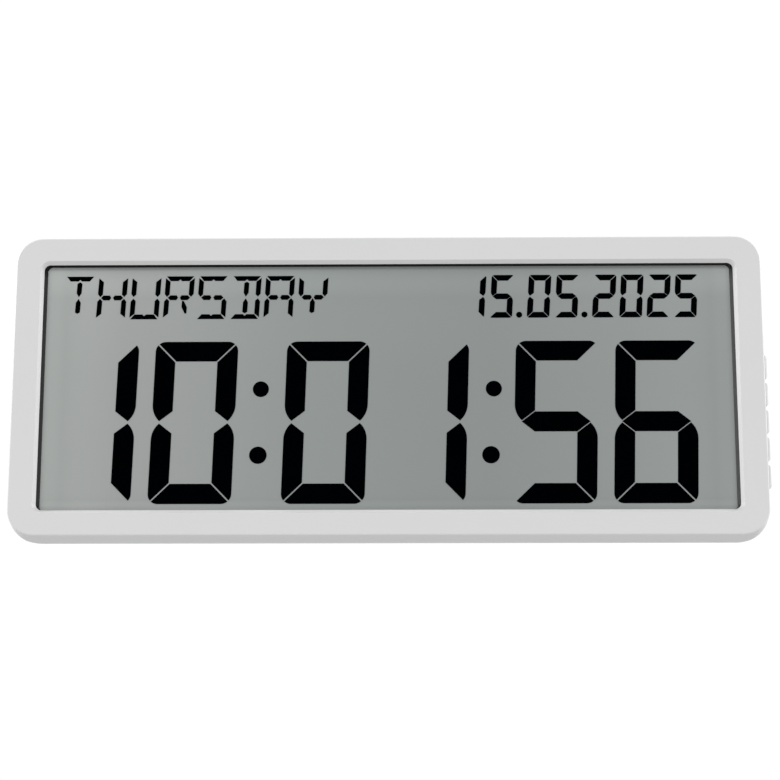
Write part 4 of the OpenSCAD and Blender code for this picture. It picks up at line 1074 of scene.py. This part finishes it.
def ribbon_end(x, y):
    """Outline of the ribbon's end: lobes along one face, and back along the other."""
    pitch = ribbon_width / RIBBON_WIRES
    crest = []
    for step in range(RIBBON_WIRES * LOBE_POINTS + 1):
        height = VALLEY_SHARE + (1 - VALLEY_SHARE) * abs(math.sin(math.pi * step / LOBE_POINTS))
        crest.append((step * pitch / LOBE_POINTS, height * RIBBON_THICK / 2))
    back = [(across, -height) for across, height in reversed(crest)]
    return [(x, y + height, ribbon_low.z + across) for across, height in crest + back]


def pulled(shape, loop, way):
    """Extrudes a loop of edges along a way and returns the loop at its far end."""
    grown = bmesh.ops.extrude_edge_only(shape, edges=loop)["geom"]
    moved = [item for item in grown if isinstance(item, bmesh.types.BMVert)]
    bmesh.ops.translate(shape, verts=moved, vec=way)
    return [item for item in grown if isinstance(item, bmesh.types.BMEdge) and item.is_boundary]


def ribbed_ribbon():
    """The ribbon from the button board to the back of the main board."""
    board_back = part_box("main_board")[1].y
    top_y = ribbon_high.y - RIBBON_THICK / 2
    bend = Vector((ribbon_low.x + RIBBON_THICK / 2 + RIBBON_BEND, top_y - RIBBON_BEND, 0))
    shape = bmesh.new()
    points = [shape.verts.new(place) for place in ribbon_end(ribbon_high.x, top_y)]
    loop = [shape.edges.new(pair) for pair in zip(points, points[1:] + points[:1])]
    loop = pulled(shape, loop, (bend.x - ribbon_high.x, 0, 0))
    bent = bmesh.ops.spin(
        shape, geom=loop, cent=bend, axis=(0, 0, 1), angle=math.pi / 2, steps=BEND_STEPS)["geom_last"]
    loop = [item for item in bent if isinstance(item, bmesh.types.BMEdge)]
    pulled(shape, loop, (0, board_back - bend.y, 0))
    bmesh.ops.holes_fill(shape, edges=shape.edges)
    bmesh.ops.recalc_face_normals(shape, faces=shape.faces)
    return shape


smooth(finished("ribbed_ribbon", ribbed_ribbon(), "ribbon", replaced=["button_ribbon"]), 50)

# %% [markdown]
# ### The aerial's winding
# The aerial is enamelled wire wound in one layer on a ferrite rod. A true helix of so fine a wire would
# take many thousands of faces for a piece that the case hides. So the turns are half-round ridges: their
# profile, closed along the bore, is spun round the rod as the cells were.

# %% Aerial winding
WIRE_TURNS = 40
TURN_POINTS = 6
# Share of the pitch that a turn fills, and the gap between the wire and the rod
TURN_SHARE = 0.98
BORE_GAP = 0.05 * MM


def wound_sleeve(node):
    """A sleeve whose outside is a row of half-round turns."""
    low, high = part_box(node)
    rod_low, rod_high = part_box("ferrite_rod")
    outer = (high.z - low.z) / 2
    bore = (rod_high.z - rod_low.z) / 2 + BORE_GAP
    pitch = (high.x - low.x) / WIRE_TURNS
    crown = pitch / 2
    profile = [(low.x, bore)]
    for turn in range(WIRE_TURNS):
        centre = low.x + pitch * (turn + 0.5)
        for step in range(TURN_POINTS):
            angle = math.pi * (1 - step / (TURN_POINTS - 1))
            along = centre + TURN_SHARE * crown * math.cos(angle)
            profile.append((along, outer - crown + crown * math.sin(angle)))
    profile.append((high.x, bore))
    return spun(profile, (low + high) / 2, closed=True)


smooth(finished("wound_copper", wound_sleeve("aerial_winding"), "copper", replaced=["aerial_winding"]), 50)

# %% [markdown]
# ## Size
# How far the dressed clock grows beyond the CAD model's size.

# %% Sizes
visual_low, visual_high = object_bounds()
growth = (visual_high - visual_low) - (cad_high - cad_low)
print("grew by", [round(side / MM, 2) for side in growth], "mm")
